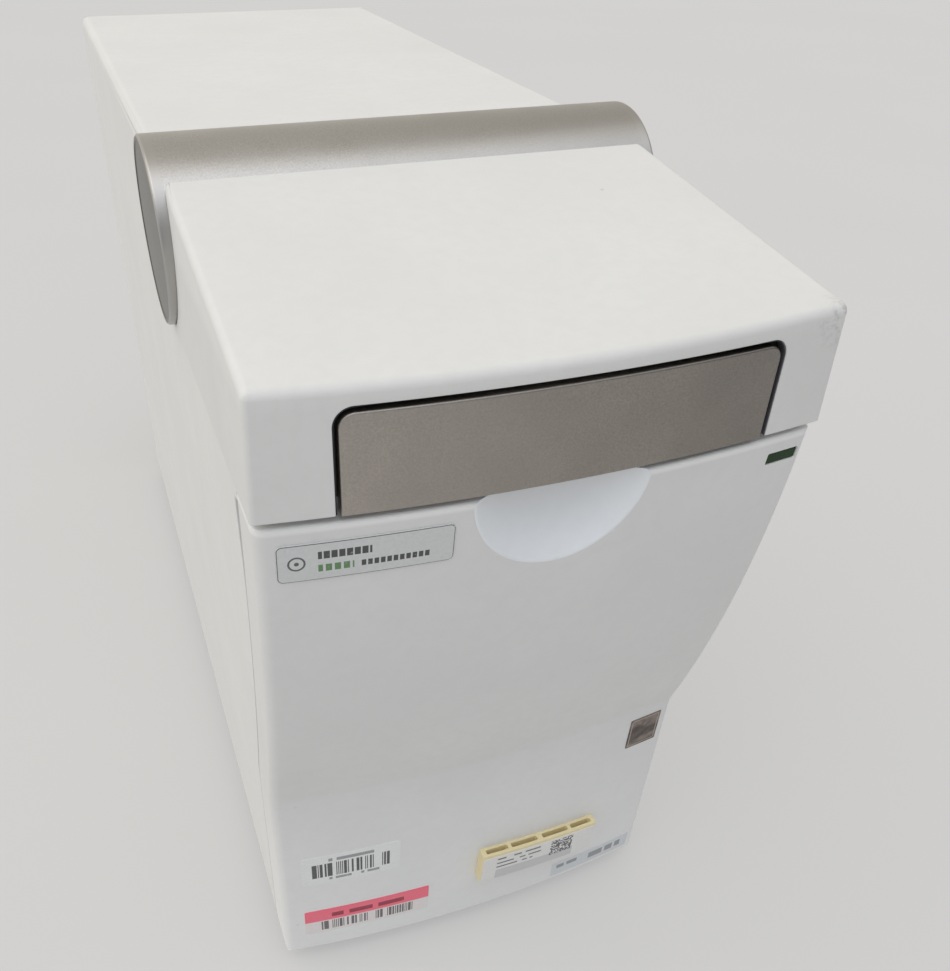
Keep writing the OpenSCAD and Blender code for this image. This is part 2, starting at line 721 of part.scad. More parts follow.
module hinge_shaft() color("silver") hinge_cyl(shaft_r, -cap_in + 1, cap_in - 1);

// The roller is an open-backed extrusion, so that the fixed brackets reach the shaft inside it.
module roller_tube() color("silver") difference() {
    hinge_cyl(roller_r, -cap_in, cap_in);
    hinge_cyl(roller_r - roller_wall, -far / 2, far / 2);
    hinge_slice(roller_r * 1.3, tube_open_from, tube_open_to, -far / 2, far / 2);
}

module roller_cap(s) color("silver") translate([s * cap_in, axis_y, hinge_z]) rotate([0, s * 90, 0]) {
    rotate_extrude($fn = 128) cap_section();
    difference() {
        translate([0, 0, -4]) cylinder(r = roller_r - roller_wall - 0.1, h = 4 + eps);
        translate([0, 0, -5]) cylinder(r = bush_r, h = 10);
    }
}

// Half section of an end cap: a flat disc with a rounded rim.
module cap_section() {
    square([roller_r - cap_fillet, cap_thick]);
    square([roller_r, cap_thick - cap_fillet]);
    intersection() {
        translate([roller_r - cap_fillet, cap_thick - cap_fillet]) circle(cap_fillet, $fn = 48);
        square([roller_r, cap_thick]);
    }
}

module hinge_bush(s) color("peru") difference() {
    hinge_cyl(bush_r, s > 0 ? bush_in : -cap_in, s > 0 ? cap_in : -bush_in);
    hinge_cyl(shaft_r + bush_gap, -far / 2, far / 2);
}

// ---- lid ----

// The lid's outer form, taken in by an inset on every side but the bottom.
module lid_form(inset, z0) intersection() {
    bowed([[lid_front(z0) + inset, z0], [lid_front(sky) + inset, sky], [back_y, sky], [back_y, z0]]);
    along_x(-far / 2, far / 2) polygon([[front_y - 9, z0], [front_y - 9, lid_top_z(front_y - 9) - inset],
        [axis_y, lid_top_z(axis_y) - inset], [axis_y, z0]]);
    along_y(front_y - 9, axis_y) polygon([[-lid_side(z0) + inset, z0], [lid_side(z0) - inset, z0],
        [lid_side(sky) - inset, sky], [-lid_side(sky) + inset, sky]]);
}

module lid_shell() color("white") difference() {
    lid_form(0, lid_z);
    difference() {
        lid_form(wall, lid_z - 1);
        hinge_cyl(roller_r + lid_to_roller + wall, -far / 2, far / 2);
    }
    hinge_cyl(roller_r + lid_to_roller, -far / 2, far / 2);
    along_y(front_y - 9, front_y + 14) arch(grip_gap_half_w, lid_z - 9, grip_gap_top, 5);
}

// A skin that follows the lid's front, from depth d0 to depth d1.
module lid_skin(d0, d1, z0, z1) {
    bowed([[lid_front(z0) + d0, z0], [lid_front(z1) + d0, z1], [lid_front(z1) + d1, z1],
        [lid_front(z0) + d1, z0]]);
}

module grip_plate() color("gray") intersection() {
    lid_skin(0.2, 3.2, grip_bottom, grip_gap_top);
    along_y(front_y - 9, front_y + 14)
        arch(grip_gap_half_w - grip_gap + 0.3, grip_bottom, grip_gap_top - grip_gap, 4);
}

module grip_backing() color("black") intersection() {
    lid_skin(3.2, 5, liner_z + liner_t, grip_gap_top + 1.6);
    block([-grip_gap_half_w - 3, front_y, liner_z], [grip_gap_half_w + 3, front_y + 20, 280]);
}

module lid_liner() color("darkgray") difference() {
    intersection() {
        lid_form(wall + 0.8, liner_z - 1);
        block([-far, front_y, liner_z], [far, axis_y, liner_z + liner_t]);
    }
    hinge_cyl(roller_r + lid_to_roller + wall + 0.3, -far / 2, far / 2);
    translate([0, chip_y, 0])
        block([-cart_w / 2 - 0.6, -cart_d / 2 - 0.6, 0], [cart_w / 2 + 0.6, cart_d / 2 + 0.6, far]);
    translate([lever_pivot[0], lever_pivot[1], 0]) cylinder(r = 2.5, h = far, $fn = 32);
}

// Radial screws that hold the lid to the roller.
module roller_screws() color("silver") for (x = [-50, -17, 17, 50])
    translate([x, axis_y, hinge_z]) rotate([0, 0, 180]) rotate([0, 90, 90])
        translate([0, 0, roller_r - roller_wall - 2]) {
            cylinder(r = 1.8, h = roller_screw_len, $fn = 24);
            translate([0, 0, roller_screw_len - eps]) cylinder(r = 3.4, h = 2, $fn = 24);
        }

module electrode_cartridge() color("ivory") translate([0, chip_y, liner_z]) {
    linear_extrude(cart_h) round_rect(cart_w, cart_d, 2);
    translate([0, 0, -1.6]) linear_extrude(1.6 + eps) round_rect(chip_well - 10, chip_well - 10, 3);
}

module electrode_pins() color("lightgray") translate([0, chip_y, pin_tip])
    for (i = [0:3], j = [0:3]) translate([(i - 1.5) * pin_pitch, (j - 1.5) * pin_pitch, 0]) {
        cylinder(r = pin_r, h = liner_z - 1.6 - pin_tip, $fn = 16);
    }

// Quarter-turn lever that locks the cartridge in the lid.
module lock_lever() color("dimgray") translate([lever_pivot[0], lever_pivot[1], lever_z]) {
    cylinder(r = 5, h = lever_t, $fn = 48);
    translate([0, -3, 0]) cube([lever_len, 6, lever_t]);
    translate([lever_len, 0, 0]) cylinder(r = 3.4, h = lever_t, $fn = 32);
    cylinder(r = 2.4, h = lever_t + 6, $fn = 32);
    translate([0, 0, lever_t + 0.4 + liner_t + 0.4]) cylinder(r = 5, h = 2, $fn = 32);
}

chassis_tray();
foot(0);  // foot_front_left
foot(1);  // foot_front_right
foot(2);  // foot_rear_left
foot(3);  // foot_rear_right
main_cover();
front_panel();
finger_scoop();
status_lens();
status_led_board();
name_badge();
foil_seal();
barcode_label();
asset_label();
service_label();
slot_strip();
slot_strip_card();
rear_panel();
rear_screws();
power_inlet();
fuse_drawer();
power_rocker();
data_port(port_z[1]);  // data_port_upper
data_port(port_z[0]);  // data_port_lower
fan_frame();
fan_rotor();
fan_guard();
deck_plate();
deck_screws();
chip_mount();
heater_plate();
chip_selector();
contact_block();
lid_sensor();
optics_shelf();
optics_block();
objective_lens();
laser_module();
detector_module();
main_board();
board_parts();
hv_module();
power_supply();
wiring_loom();
hinge_bracket(-1);  // hinge_bracket_left
hinge_bracket(1);  // hinge_bracket_right
hinge_shaft();
lid_shell();
grip_plate();
grip_backing();
lid_liner();
roller_tube();
roller_cap(-1);  // roller_cap_left
roller_cap(1);  // roller_cap_right
hinge_bush(-1);  // hinge_bush_left
hinge_bush(1);  // hinge_bush_right
roller_screws();
electrode_cartridge();
electrode_pins();
lock_lever();
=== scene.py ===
"""Looks of the benchtop chip electrophoresis analyzer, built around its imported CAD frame.

Shapes are worked out in millimetres in the CAD frame, and place() turns them into metres.
"""

import json
import math

import bmesh
import bpy
from mathutils import Matrix, Vector


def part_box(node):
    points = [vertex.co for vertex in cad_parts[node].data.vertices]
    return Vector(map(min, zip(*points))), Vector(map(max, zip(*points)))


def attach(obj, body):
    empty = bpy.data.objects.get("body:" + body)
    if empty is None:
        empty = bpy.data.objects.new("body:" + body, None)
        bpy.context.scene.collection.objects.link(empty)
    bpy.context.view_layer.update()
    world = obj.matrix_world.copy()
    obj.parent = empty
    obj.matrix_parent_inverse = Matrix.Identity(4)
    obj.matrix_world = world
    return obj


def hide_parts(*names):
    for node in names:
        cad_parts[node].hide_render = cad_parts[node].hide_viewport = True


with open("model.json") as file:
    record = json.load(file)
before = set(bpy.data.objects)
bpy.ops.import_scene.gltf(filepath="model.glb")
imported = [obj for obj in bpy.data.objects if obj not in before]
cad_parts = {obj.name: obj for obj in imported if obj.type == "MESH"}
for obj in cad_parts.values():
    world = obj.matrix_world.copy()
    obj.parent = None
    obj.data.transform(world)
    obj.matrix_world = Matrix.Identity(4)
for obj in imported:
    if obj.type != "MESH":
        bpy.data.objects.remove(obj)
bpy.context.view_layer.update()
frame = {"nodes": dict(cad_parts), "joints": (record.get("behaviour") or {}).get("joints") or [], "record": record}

NODES = frame["nodes"]
SLOT_OF = {part["node"]: part["material_slot"] for part in frame["record"]["subparts"]}


def box_mm(node):
    """Lowest and highest corner of a CAD node, in millimetres."""
    low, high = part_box(node)
    return low * 1000, high * 1000


# ---- driving sizes, millimetres ----

LID_LOW, LID_HIGH = box_mm("lid_shell")
COVER_LOW, COVER_HIGH = box_mm("main_cover")
PANEL_LOW, PANEL_HIGH = box_mm("front_panel")
CAP_LOW, CAP_HIGH = box_mm("roller_cap_right")
STRIP_LOW, STRIP_HIGH = box_mm("slot_strip")
LENS_LOW, LENS_HIGH = box_mm("status_lens")

FRONT_Y = -COVER_HIGH.y
BACK_Y = COVER_HIGH.y
HALF_W = COVER_HIGH.x
WALL = 2.6  # thickness of the mouldings
PAST = 9  # how far a cutter reaches past the shape it cuts
BEND_X = HALF_W - 6  # outermost bend cut, short of the rounded corners

HINGE_Y, HINGE_Z = (c * 1000 for c in frame["joints"][0]["pos_m"][1:])
ROLLER_R = (CAP_HIGH.z - CAP_LOW.z) / 2
ROLLER_WALL = 2.5
CAP_OUT = CAP_HIGH.x
CAP_IN = CAP_OUT - 3.5  # back of a cap's disc, where the tube ends

BOW_R = 568  # both fronts bow about one upright axis
BOW_Y = FRONT_Y + BOW_R
FACE_R = 500  # the panel's face above the crease, seen from the side
CREASE_Z = 102
FACE_TOP = 232.4
FOOT_Y = FRONT_Y + 23.2
TOP_Y = FRONT_Y + 1.4
PANEL_DROP = 1.5  # shadow gap between the panel's top and the lid
WRAP = 18  # how far the panel reaches back along each side
SEAM = 1.2  # gap behind the panel's sides

LID_Z = LID_LOW.z
LID_HALF = LID_HIGH.x
LID_GAP = 0.4  # between the lid's foot and the cover
LID_FRONT_TOP = 268
LID_SLOPE = math.tan(math.radians(7.3))  # rise of the top towards the roller
LID_DRAFT = math.tan(math.radians(2))  # sides drawn in towards the top
LID_LEAN = math.tan(math.radians(2.5))  # front leaning back
LID_ROOM = 0.3  # between the lid's shell and the roller
COVER_ROOM = 0.8  # between the cover and the roller
SEAM_TOP = LID_Z - 7  # the seam is closed above this
GRIP_HALF = 59
GRIP_TOP = 263.6
GRIP_CORNER = 5

SCOOP_HALF = 25
SCOOP_DEPTH = 7
SCOOP_R = (SCOOP_HALF ** 2 + SCOOP_DEPTH ** 2) / 2 / SCOOP_DEPTH
SCOOP_WALL = 1.6
SCOOP_LIP = 0.4  # thickness of the dish inside the panel's skin

STRIP_HALF_W = 25.5
STRIP_HALF_H = 8.2
STRIP_THICK = 4.2
STRIP_TILT = math.radians(3)
STRIP_SLOTS = ((-23.4, -14.2), (-12.6, -1.2), (1.2, 12.6), (14.2, 23.4))
STRIP_X = (STRIP_LOW.x + STRIP_HIGH.x) / 2
STRIP_Z = (STRIP_LOW.z + STRIP_HIGH.z) / 2

# The face's arc runs through the crease and the top; this finds its centre.
CHORD_LEAN = math.atan2(FOOT_Y - TOP_Y, FACE_TOP - CREASE_Z)
CHORD = math.hypot(FOOT_Y - TOP_Y, FACE_TOP - CREASE_Z)
TOP_LEAN = CHORD_LEAN - math.asin(CHORD / 2 / FACE_R)
ARC_Y = TOP_Y + FACE_R * math.cos(TOP_LEAN)
ARC_Z = FACE_TOP + FACE_R * math.sin(TOP_LEAN)


# ---- the two curved fronts, as maps from (x, depth behind the face, z) ----


def bowed(x, y):
    """Where a point at y on the centre line comes forward or back to, at x on the bowed front."""
    return BOW_Y - math.sqrt((BOW_Y - y) ** 2 - x * x)


def face_y(z):
    """The front panel's face on the centre line: an upright foot, a crease, then an arc."""
    if z <= CREASE_Z:
        return FOOT_Y
    return ARC_Y - math.sqrt(FACE_R ** 2 - (min(z, FACE_TOP) - ARC_Z) ** 2)


def on_panel(p):
    """From (x, depth, z) to the front panel."""
    return Vector((p.x, bowed(p.x, face_y(p.z) + p.y), p.z))


def on_lid_front(p):
    """From (x, depth, z) to the lid's leaning front."""
    return Vector((p.x, bowed(p.x, FRONT_Y + (p.z - LID_Z) * LID_LEAN + p.y), p.z))


# ---- mesh tools ----


def work_object(bm, name="work"):
    mesh = bpy.data.meshes.new(name)
    bm.to_mesh(mesh)
    bm.free()
    obj = bpy.data.objects.new(name, mesh)
    bpy.context.scene.collection.objects.link(obj)
    return obj


def bake_modifiers(obj):
    """Makes the modified shape the object's own mesh."""
    bpy.context.view_layer.update()
    graph = bpy.context.evaluated_depsgraph_get()
    mesh = bpy.data.meshes.new_from_object(obj.evaluated_get(graph))
    obj.modifiers.clear()
    old = obj.data
    obj.data = mesh
    bpy.data.meshes.remove(old)
    return obj


def edit(obj, change):
    """Runs change(bm) on an object's mesh."""
    bm = bmesh.new()
    bm.from_mesh(obj.data)
    change(bm)
    bm.to_mesh(obj.data)
    bm.free()


def slice_at(obj, axis, places):
    """Cuts the mesh across one axis at each place, so that it can bend there."""
    normal = Vector([float(i == axis) for i in range(3)])

    def change(bm):
        for at in places:
            geometry = bm.verts[:] + bm.edges[:] + bm.faces[:]
            bmesh.ops.bisect_plane(bm, geom=geometry, plane_co=normal * at, plane_no=normal, dist=1e-4)

    edit(obj, change)


def warp(obj, move):
    """Moves every point p to move(p)."""
    for v in obj.data.vertices:
        v.co = move(v.co)
    return obj


def rounded_box(low, high, radius_of, steps):
    """A box with rounded edges; radius_of(x, y, z) has -1, 0 or 1 for the side an edge is on."""
    low, high = Vector(low), Vector(high)
    bm = bmesh.new()
    bmesh.ops.create_cube(bm, size=2)
    weight = bm.edges.layers.float.new("bevel_weight_edge")
    radii = {e: radius_of(*[round(c) for c in (e.verts[0].co + e.verts[1].co) / 2]) for e in bm.edges}
    widest = max(radii.values())
    for e, radius in radii.items():
        e[weight] = radius / widest
    for v in bm.verts:
        v.co = [(low[i] + high[i]) / 2 + v.co[i] * (high[i] - low[i]) / 2 for i in range(3)]
    obj = work_object(bm)
    mod = obj.modifiers.new("round", "BEVEL")
    mod.limit_method = "WEIGHT"
    mod.width = widest
    mod.segments = steps
    mod.use_clamp_overlap = False
    return bake_modifiers(obj)


def plain_box(low, high, edge=0.01):
    """A box with one small chamfer all round."""
    return rounded_box(low, high, lambda x, y, z: edge, 1)


def extruded(outline, axis, start, end, edge=0.0, steps=3):
    """An outline drawn out along an axis, its edge at the start rounded."""
    order = {0: (1, 2), 1: (0, 2), 2: (0, 1)}[axis]
    bm = bmesh.new()
    rings = []
    for along in (start, end):
        ring = []
        for a, b in outline:
            co = [0.0, 0.0, 0.0]
            co[axis], co[order[0]], co[order[1]] = along, a, b
            ring.append(bm.verts.new(co))
        rings.append(ring)
    count = len(outline)
    face = bm.faces.new(rings[0])
    bm.faces.new(rings[1])
    for i in range(count):
        j = (i + 1) % count
        bm.faces.new((rings[0][i], rings[0][j], rings[1][j], rings[1][i]))
    bmesh.ops.recalc_face_normals(bm, faces=bm.faces[:])
    if edge:
        bmesh.ops.bevel(bm, geom=face.edges[:], offset=edge, segments=steps, affect="EDGES", profile=0.5)
    return work_object(bm)


def lathed(profile):
    """A profile of (radius, x) pairs turned about the X axis; radius 0 closes an end."""
    steps = 192
    bm = bmesh.new()
    rings = []
    for radius, x in profile:
        ring = []
        for i in range(1 if radius == 0 else steps):
            angle = 2 * math.pi * i / steps
            ring.append(bm.verts.new((x, radius * math.cos(angle), radius * math.sin(angle))))
        rings.append(ring)
    for one, two in zip(rings, rings[1:]):
        for i in range(steps):
            j = (i + 1) % steps
            if len(one) == 1:
                bm.faces.new((one[0], two[j], two[i]))
            elif len(two) == 1:
                bm.faces.new((one[i], one[j], two[0]))
            else:
                bm.faces.new((one[i], one[j], two[j], two[i]))
    bmesh.ops.recalc_face_normals(bm, faces=bm.faces[:])
    return work_object(bm)


def carve(obj, tool, how="DIFFERENCE"):
    """Cuts, joins or crosses a mesh with a tool mesh, which is used up."""
    mod = obj.modifiers.new("carve", "BOOLEAN")
    mod.operation = how
    mod.solver = "EXACT"
    mod.object = tool
    bake_modifiers(obj)
    bpy.data.objects.remove(tool)
    return obj


def ease(obj, width, angle=40):
    """Rounds every edge that is sharper than an angle."""
    mod = obj.modifiers.new("ease", "BEVEL")
    mod.limit_method = "ANGLE"
    mod.angle_limit = math.radians(angle)
    mod.width = width
    mod.segments = 2
    mod.use_clamp_overlap = False
    return bake_modifiers(obj)


def shifted(obj, y, z):
    return warp(obj, lambda p: p + Vector((0, y, z)))


def quarter(a, b, radius, first, steps):
    """A quarter turn of points about (a, b), from an angle of first degrees."""
    turns = [math.radians(first + 90 * i / steps) for i in range(steps + 1)]
    return [(a + radius * math.cos(turn), b + radius * math.sin(turn)) for turn in turns]


def patch_outline(x0, x1, z0, z1, radius):
    """A rectangle with rounded corners."""
    left, right, low, high = x0 + radius, x1 - radius, z0 + radius, z1 - radius
    return (quarter(right, high, radius, 0, 6) + quarter(left, high, radius, 90, 6)
            + quarter(left, low, radius, 180, 6) + quarter(right, low, radius, 270, 6))


def arch(half, z0, z1, radius):
    """A doorway outline: square foot, rounded top corners."""
    across, high = half - radius, z1 - radius
    return ([(-half, z0), (half, z0)] + quarter(across, high, radius, 0, 12)
            + quarter(-across, high, radius, 90, 12))


def steps_between(start, end, pitch):
    """Even places between two ends, without the ends, about a pitch apart."""
    count = max(1, round((end - start) / pitch))
    return [start + (end - start) * i / count for i in range(1, count)]


def place(obj, name, body, slot, replaces=(), look=None):
    """Names a finished mesh, turns it into metres, gives it its look, and puts it on its body."""
    obj.name = name
    obj.data.name = name
    obj.data.transform(Matrix.Scale(0.001, 4))
    edit(obj, lambda bm: bmesh.ops.remove_doubles(bm, verts=bm.verts[:], dist=1e-7))
    obj.data.shade_smooth()
    obj.data.set_sharp_from_angle(angle=math.radians(32))
    mod = obj.modifiers.new("normals", "WEIGHTED_NORMAL")
    mod.keep_sharp = True
    mod.weight = 80
    obj.data.materials.clear()
    obj.data.materials.append(look or LOOKS[slot])
    if replaces:
        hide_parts(*replaces)
    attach(obj, body)


# ---- shader tools ----


class Paint:
    """One procedural material, built a node at a time. Lengths are metres."""

    def __init__(self, name, **sockets):
        self.material = bpy.data.materials.new(name)
        self.material.use_nodes = True
        self.tree = self.material.node_tree
        self.tree.nodes.clear()
        self.shader = self.add("ShaderNodeBsdfPrincipled")
        out = self.add("ShaderNodeOutputMaterial")
        self.link(self.shader.outputs[0], out.inputs[0])
        self.where = self.add("ShaderNodeTexCoord").outputs["Object"]
        for socket, value in sockets.items():
            self.shader.inputs[socket.replace("_", " ")].default_value = value

    def add(self, kind, **settings):
        node = self.tree.nodes.new(kind)
        for key, value in settings.items():
            setattr(node, key, value)
        return node

    def link(self, source, target):
        self.tree.links.new(source, target)

    def feed(self, node, socket, value):
        """Sets a socket to a number, a colour or another node's output."""
        if isinstance(value, bpy.types.NodeSocket):
            self.link(value, node.inputs[socket])
        else:
            node.inputs[socket].default_value = value

    def noise(self, size, detail=2.0, rough=0.5, where=None):
        """Smooth noise with features about size metres across."""
        node = self.add("ShaderNodeTexNoise")
        node.inputs["Scale"].default_value = 1 / size
        node.inputs["Detail"].default_value = detail
        node.inputs["Roughness"].default_value = rough
        self.link(where or self.where, node.inputs["Vector"])
        return node.outputs["Fac"]

    def packed(self, *scale):
        """The object's coordinates times a factor for each axis."""
        node = self.add("ShaderNodeMapping")
        node.inputs["Scale"].default_value = scale
        self.link(self.where, node.inputs["Vector"])
        return node.outputs["Vector"]

    def spots(self, size):
        """Distance to scattered points about size metres apart."""
        node = self.add("ShaderNodeTexVoronoi")
        node.inputs["Scale"].default_value = 1 / size
        self.link(self.where, node.inputs["Vector"])
        return node.outputs["Distance"]

    def chance(self, vector=None, number=None):
        """A random value from 0 to 1 that is fixed for each vector or number."""
        node = self.add("ShaderNodeTexWhiteNoise", noise_dimensions="1D" if vector is None else "2D")
        if vector is None:
            self.link(number, node.inputs["W"])
        else:
            self.link(vector, node.inputs["Vector"])
        return node.outputs["Value"]

    def math(self, how, a, b=0.0, c=0.0):
        node = self.add("ShaderNodeMath", operation=how)
        for i, value in enumerate((a, b, c)):
            self.feed(node, i, value)
        return node.outputs[0]

    def hypot(self, a, b):
        squares = [self.math("MULTIPLY", side, side) for side in (a, b)]
        return self.math("SQRT", self.math("ADD", *squares))

    def span(self, value, low, high, to_low=0.0, to_high=1.0):
        """Spreads value between low and high over another range, held at its ends."""
        node = self.add("ShaderNodeMapRange")
        node.clamp = True
        for i, number in enumerate((value, low, high, to_low, to_high)):
            self.feed(node, i, number)
        return node.outputs[0]

    def mix(self, factor, a, b):
        node = self.add("ShaderNodeMix", data_type="RGBA")
        self.feed(node, "Factor", factor)
        self.feed(node, 6, a)
        self.feed(node, 7, b)
        return node.outputs[2]

    def axes(self):
        node = self.add("ShaderNodeSeparateXYZ")
        self.link(self.where, node.inputs[0])
        return node.outputs

    def within(self, value, low, high):
        """1 where value is between low and high, else 0."""
        above = self.math("GREATER_THAN", value, low)
        return self.math("MULTIPLY", above, self.math("LESS_THAN", value, high))

    def near(self, point, reach):
        """1 at a point, falling to 0 at reach metres from it."""
        node = self.add("ShaderNodeVectorMath", operation="DISTANCE")
        self.link(self.where, node.inputs[0])
        node.inputs[1].default_value = point
        return self.span(node.outputs["Value"], 0.0, reach, 1.0, 0.0)

    def bump(self, height, depth, strength):
        """A normal from a height that stands for depth metres."""
        node = self.add("ShaderNodeBump")
        node.inputs["Strength"].default_value = strength
        node.inputs["Distance"].default_value = depth
        self.link(height, node.inputs["Height"])
        return node.outputs[0]

    def scaled(self, colour, factor):
        """A colour times a number."""
        made = self.add("ShaderNodeVectorMath", operation="SCALE")
        self.link(colour, made.inputs[0])
        self.link(factor, made.inputs["Scale"])
        return made.outputs[0]

    def done(self, colour, rough, normal=None):
        """Wires up the shader and gives the finished material."""
        self.feed(self.shader, "Base Color", colour)
        self.feed(self.shader, "Roughness", rough)
        if normal is not None:
            self.link(normal, self.shader.inputs["Normal"])
        return self.material


def tone(r, g, b):
    """Linear colour from 0-255 display values."""
    return tuple(((c / 255 + 0.055) / 1.055) ** 2.4 if c > 10 else c / 3295 for c in (r, g, b)) + (1,)


def shade(colour, factor):
    """A darker or lighter colour."""
    return tuple(min(1, c * factor) for c in colour[:3]) + (1,)


# ---- materials ----


def moulded(name, colour, rough=0.55, depth=0.00005, dirt=0.25, scuffs=(), painted_light=()):
    """Textured moulded plastic: fine grain, faint cloudy tone, specks and rubbed corners.

    Each scuff is (point, reach) and each painted-light fade is (axis, start, end, factor): painted light or
    shade changes the tone by the factor between start and end. All are in metres.
    """
    p = Paint(name, IOR=1.47)
    fine = p.noise(0.0007, 3, 0.6)
    cloud = p.noise(0.045, 4, 0.55)
    base = p.mix(p.span(cloud, 0.35, 0.7), shade(colour, 1.015), shade(colour, 0.975))
    mottled = p.mix(p.span(p.noise(0.004, 2), 0.4, 0.75, 0, 0.5), base, shade(colour, 0.96))
    rare = p.span(p.spots(0.016), 0.05, 0.035)
    speck = p.math("MULTIPLY", rare, p.span(p.noise(0.02, 1), 0.55, 0.62, 0, dirt))
    marked = p.mix(speck, mottled, shade(colour, 0.35))
    for point, reach in scuffs:
        rub = p.math("MULTIPLY", p.near(point, reach), p.span(p.noise(0.0022, 4, 0.7), 0.48, 0.6))
        marked = p.mix(p.math("MULTIPLY", rub, 0.75), marked, shade(colour, 0.45))
    # Painted light and shade: each fade scales the tone by where light falls.
    for axis, start, end, factor in painted_light:
        marked = p.scaled(marked, p.span(p.axes()[axis], start, end, 1, factor))
    roughness = p.span(p.noise(0.02, 3), 0.3, 0.7, rough - 0.05, rough + 0.07)
    return p.done(marked, roughness, p.bump(fine, depth, 0.6))


def satin_metal(name, colour, rough, metallic=1.0, across=None):
    """Blasted and anodised, or metallic painted: fine grain and faint cloudy tone.

    across is (reach, left, right): painted shade, the tone going from one factor to the other over x = +-reach
    metres.
    """
    p = Paint(name, Metallic=metallic)
    fine = p.noise(0.0005, 4, 0.75)
    cloud = p.noise(0.06, 3, 0.5)
    base = p.mix(p.span(fine, 0.3, 0.7), shade(colour, 0.82), shade(colour, 1.16))
    toned = p.mix(p.span(cloud, 0.4, 0.65, 0, 0.6), base, shade(colour, 0.93))
    # Painted shade: the tone is scaled from one end to the other across x.
    if across:
        reach, left, right = across
        toned = p.scaled(toned, p.span(p.axes()[0], -reach, reach, left, right))
    roughness = p.span(p.noise(0.015, 3), 0.3, 0.7, rough - 0.04, rough + 0.06)
    return p.done(toned, roughness, p.bump(fine, 0.000012, 0.8))


def turned_metal(name, colour, rim, rim_at):
    """A lathe-turned face: rings of fine grooves about the hinge, and a rim in another tone, so that the face can
    be drawn in painted shade against its rim.
    """
    p = Paint(name, Metallic=1.0)
    x, y, z = p.axes()
    radius = p.hypot(p.math("SUBTRACT", y, HINGE_Y / 1000), p.math("SUBTRACT", z, HINGE_Z / 1000))
    join = p.add("ShaderNodeCombineXYZ")
    p.link(radius, join.inputs[0])
    groove = p.noise(0.0006, 3, 0.5, join.outputs[0])
    base = p.mix(p.span(groove, 0.3, 0.7), shade(colour, 0.88), shade(colour, 1.1))
    toned = p.mix(p.span(p.noise(0.01, 3), 0.45, 0.7, 0, 0.5), base, shade(colour, 0.8))
    edged = p.mix(p.span(radius, rim_at - 0.0002, rim_at), toned, rim)
    return p.done(edged, p.span(groove, 0.3, 0.7, 0.3, 0.4), p.bump(groove, 0.00001, 0.6))


def sheet_metal(name, colour):
    """Zinc-plated or rolled sheet with a directional grain and pale blooms."""
    p = Paint(name, Metallic=1.0)
    grain = p.noise(0.0015, 4, 0.6, p.packed(1, 12, 1))
    bloom = p.spots(0.012)
    base = p.mix(p.span(grain, 0.35, 0.65), shade(colour, 0.9), shade(colour, 1.06))
    toned = p.mix(p.span(bloom, 0.1, 0.7, 0, 0.35), base, shade(colour, 0.82))
    return p.done(toned, p.span(grain, 0.3, 0.7, 0.29, 0.44), p.bump(grain, 0.00001, 0.5))


def bright_metal(name, colour):
    """Plated steel screws and wires."""
    p = Paint(name, Metallic=1.0)
    smear = p.noise(0.003, 3)
    base = p.mix(p.span(smear, 0.35, 0.7), shade(colour, 1.05), shade(colour, 0.8))
    return p.done(base, p.span(smear, 0.3, 0.7, 0.16, 0.3), p.bump(p.noise(0.0008, 2), 0.000006, 0.4))


def brass(name, colour):
    p = Paint(name, Metallic=1.0)
    turned = p.noise(0.0012, 3, 0.6, p.packed(1, 6, 1))
    base = p.mix(p.span(turned, 0.3, 0.7), shade(colour, 0.85), shade(colour, 1.1))
    stained = p.mix(p.span(p.noise(0.012, 4), 0.5, 0.7, 0, 0.5), base, shade(colour, 0.55))
    return p.done(stained, p.span(turned, 0.3, 0.7, 0.25, 0.38), p.bump(turned, 0.00001, 0.5))


def rubber(name, colour):
    p = Paint(name, IOR=1.5)
    fine = p.noise(0.0005, 3, 0.7)
    dust = p.span(p.noise(0.008, 4, 0.65), 0.5, 0.75, 0, 0.35)
    base = p.mix(dust, colour, shade((0.2, 0.19, 0.18), 1))
    return p.done(base, p.span(fine, 0.3, 0.7, 0.7, 0.85), p.bump(fine, 0.00005, 0.6))


def gloss_plastic(name, colour, rough=0.28):
    p = Paint(name, IOR=1.5, Coat_Weight=0.15, Coat_Roughness=0.12)
    fine = p.noise(0.0012, 3)
    cloud = p.noise(0.02, 3)
    base = p.mix(p.span(cloud, 0.35, 0.7), shade(colour, 1.08), shade(colour, 0.88))
    return p.done(base, p.span(fine, 0.3, 0.7, rough - 0.04, rough + 0.08), p.bump(fine, 0.00001, 0.5))


def window_green(name, colour):
    """Dark green lens with faint moulded ribs behind a polished face."""
    p = Paint(name, IOR=1.25)
    x, y, z = p.axes()
    rib = p.math("PINGPONG", x, 0.0006)
    base = p.mix(p.span(rib, 0.0, 0.0006), shade(colour, 0.75), shade(colour, 1.25))
    toned = p.mix(p.span(p.noise(0.003, 3), 0.4, 0.7, 0, 0.6), base, shade(colour, 0.6))
    return p.done(toned, p.span(p.noise(0.001, 2), 0.3, 0.7, 0.22, 0.34))


def glass(name, colour):
    p = Paint(name, Transmission_Weight=0.9, IOR=1.5)
    smear = p.noise(0.004, 3)
    base = p.mix(p.span(smear, 0.4, 0.7, 0, 0.3), colour, shade(colour, 0.85))
    return p.done(base, p.span(smear, 0.3, 0.7, 0.02, 0.08))


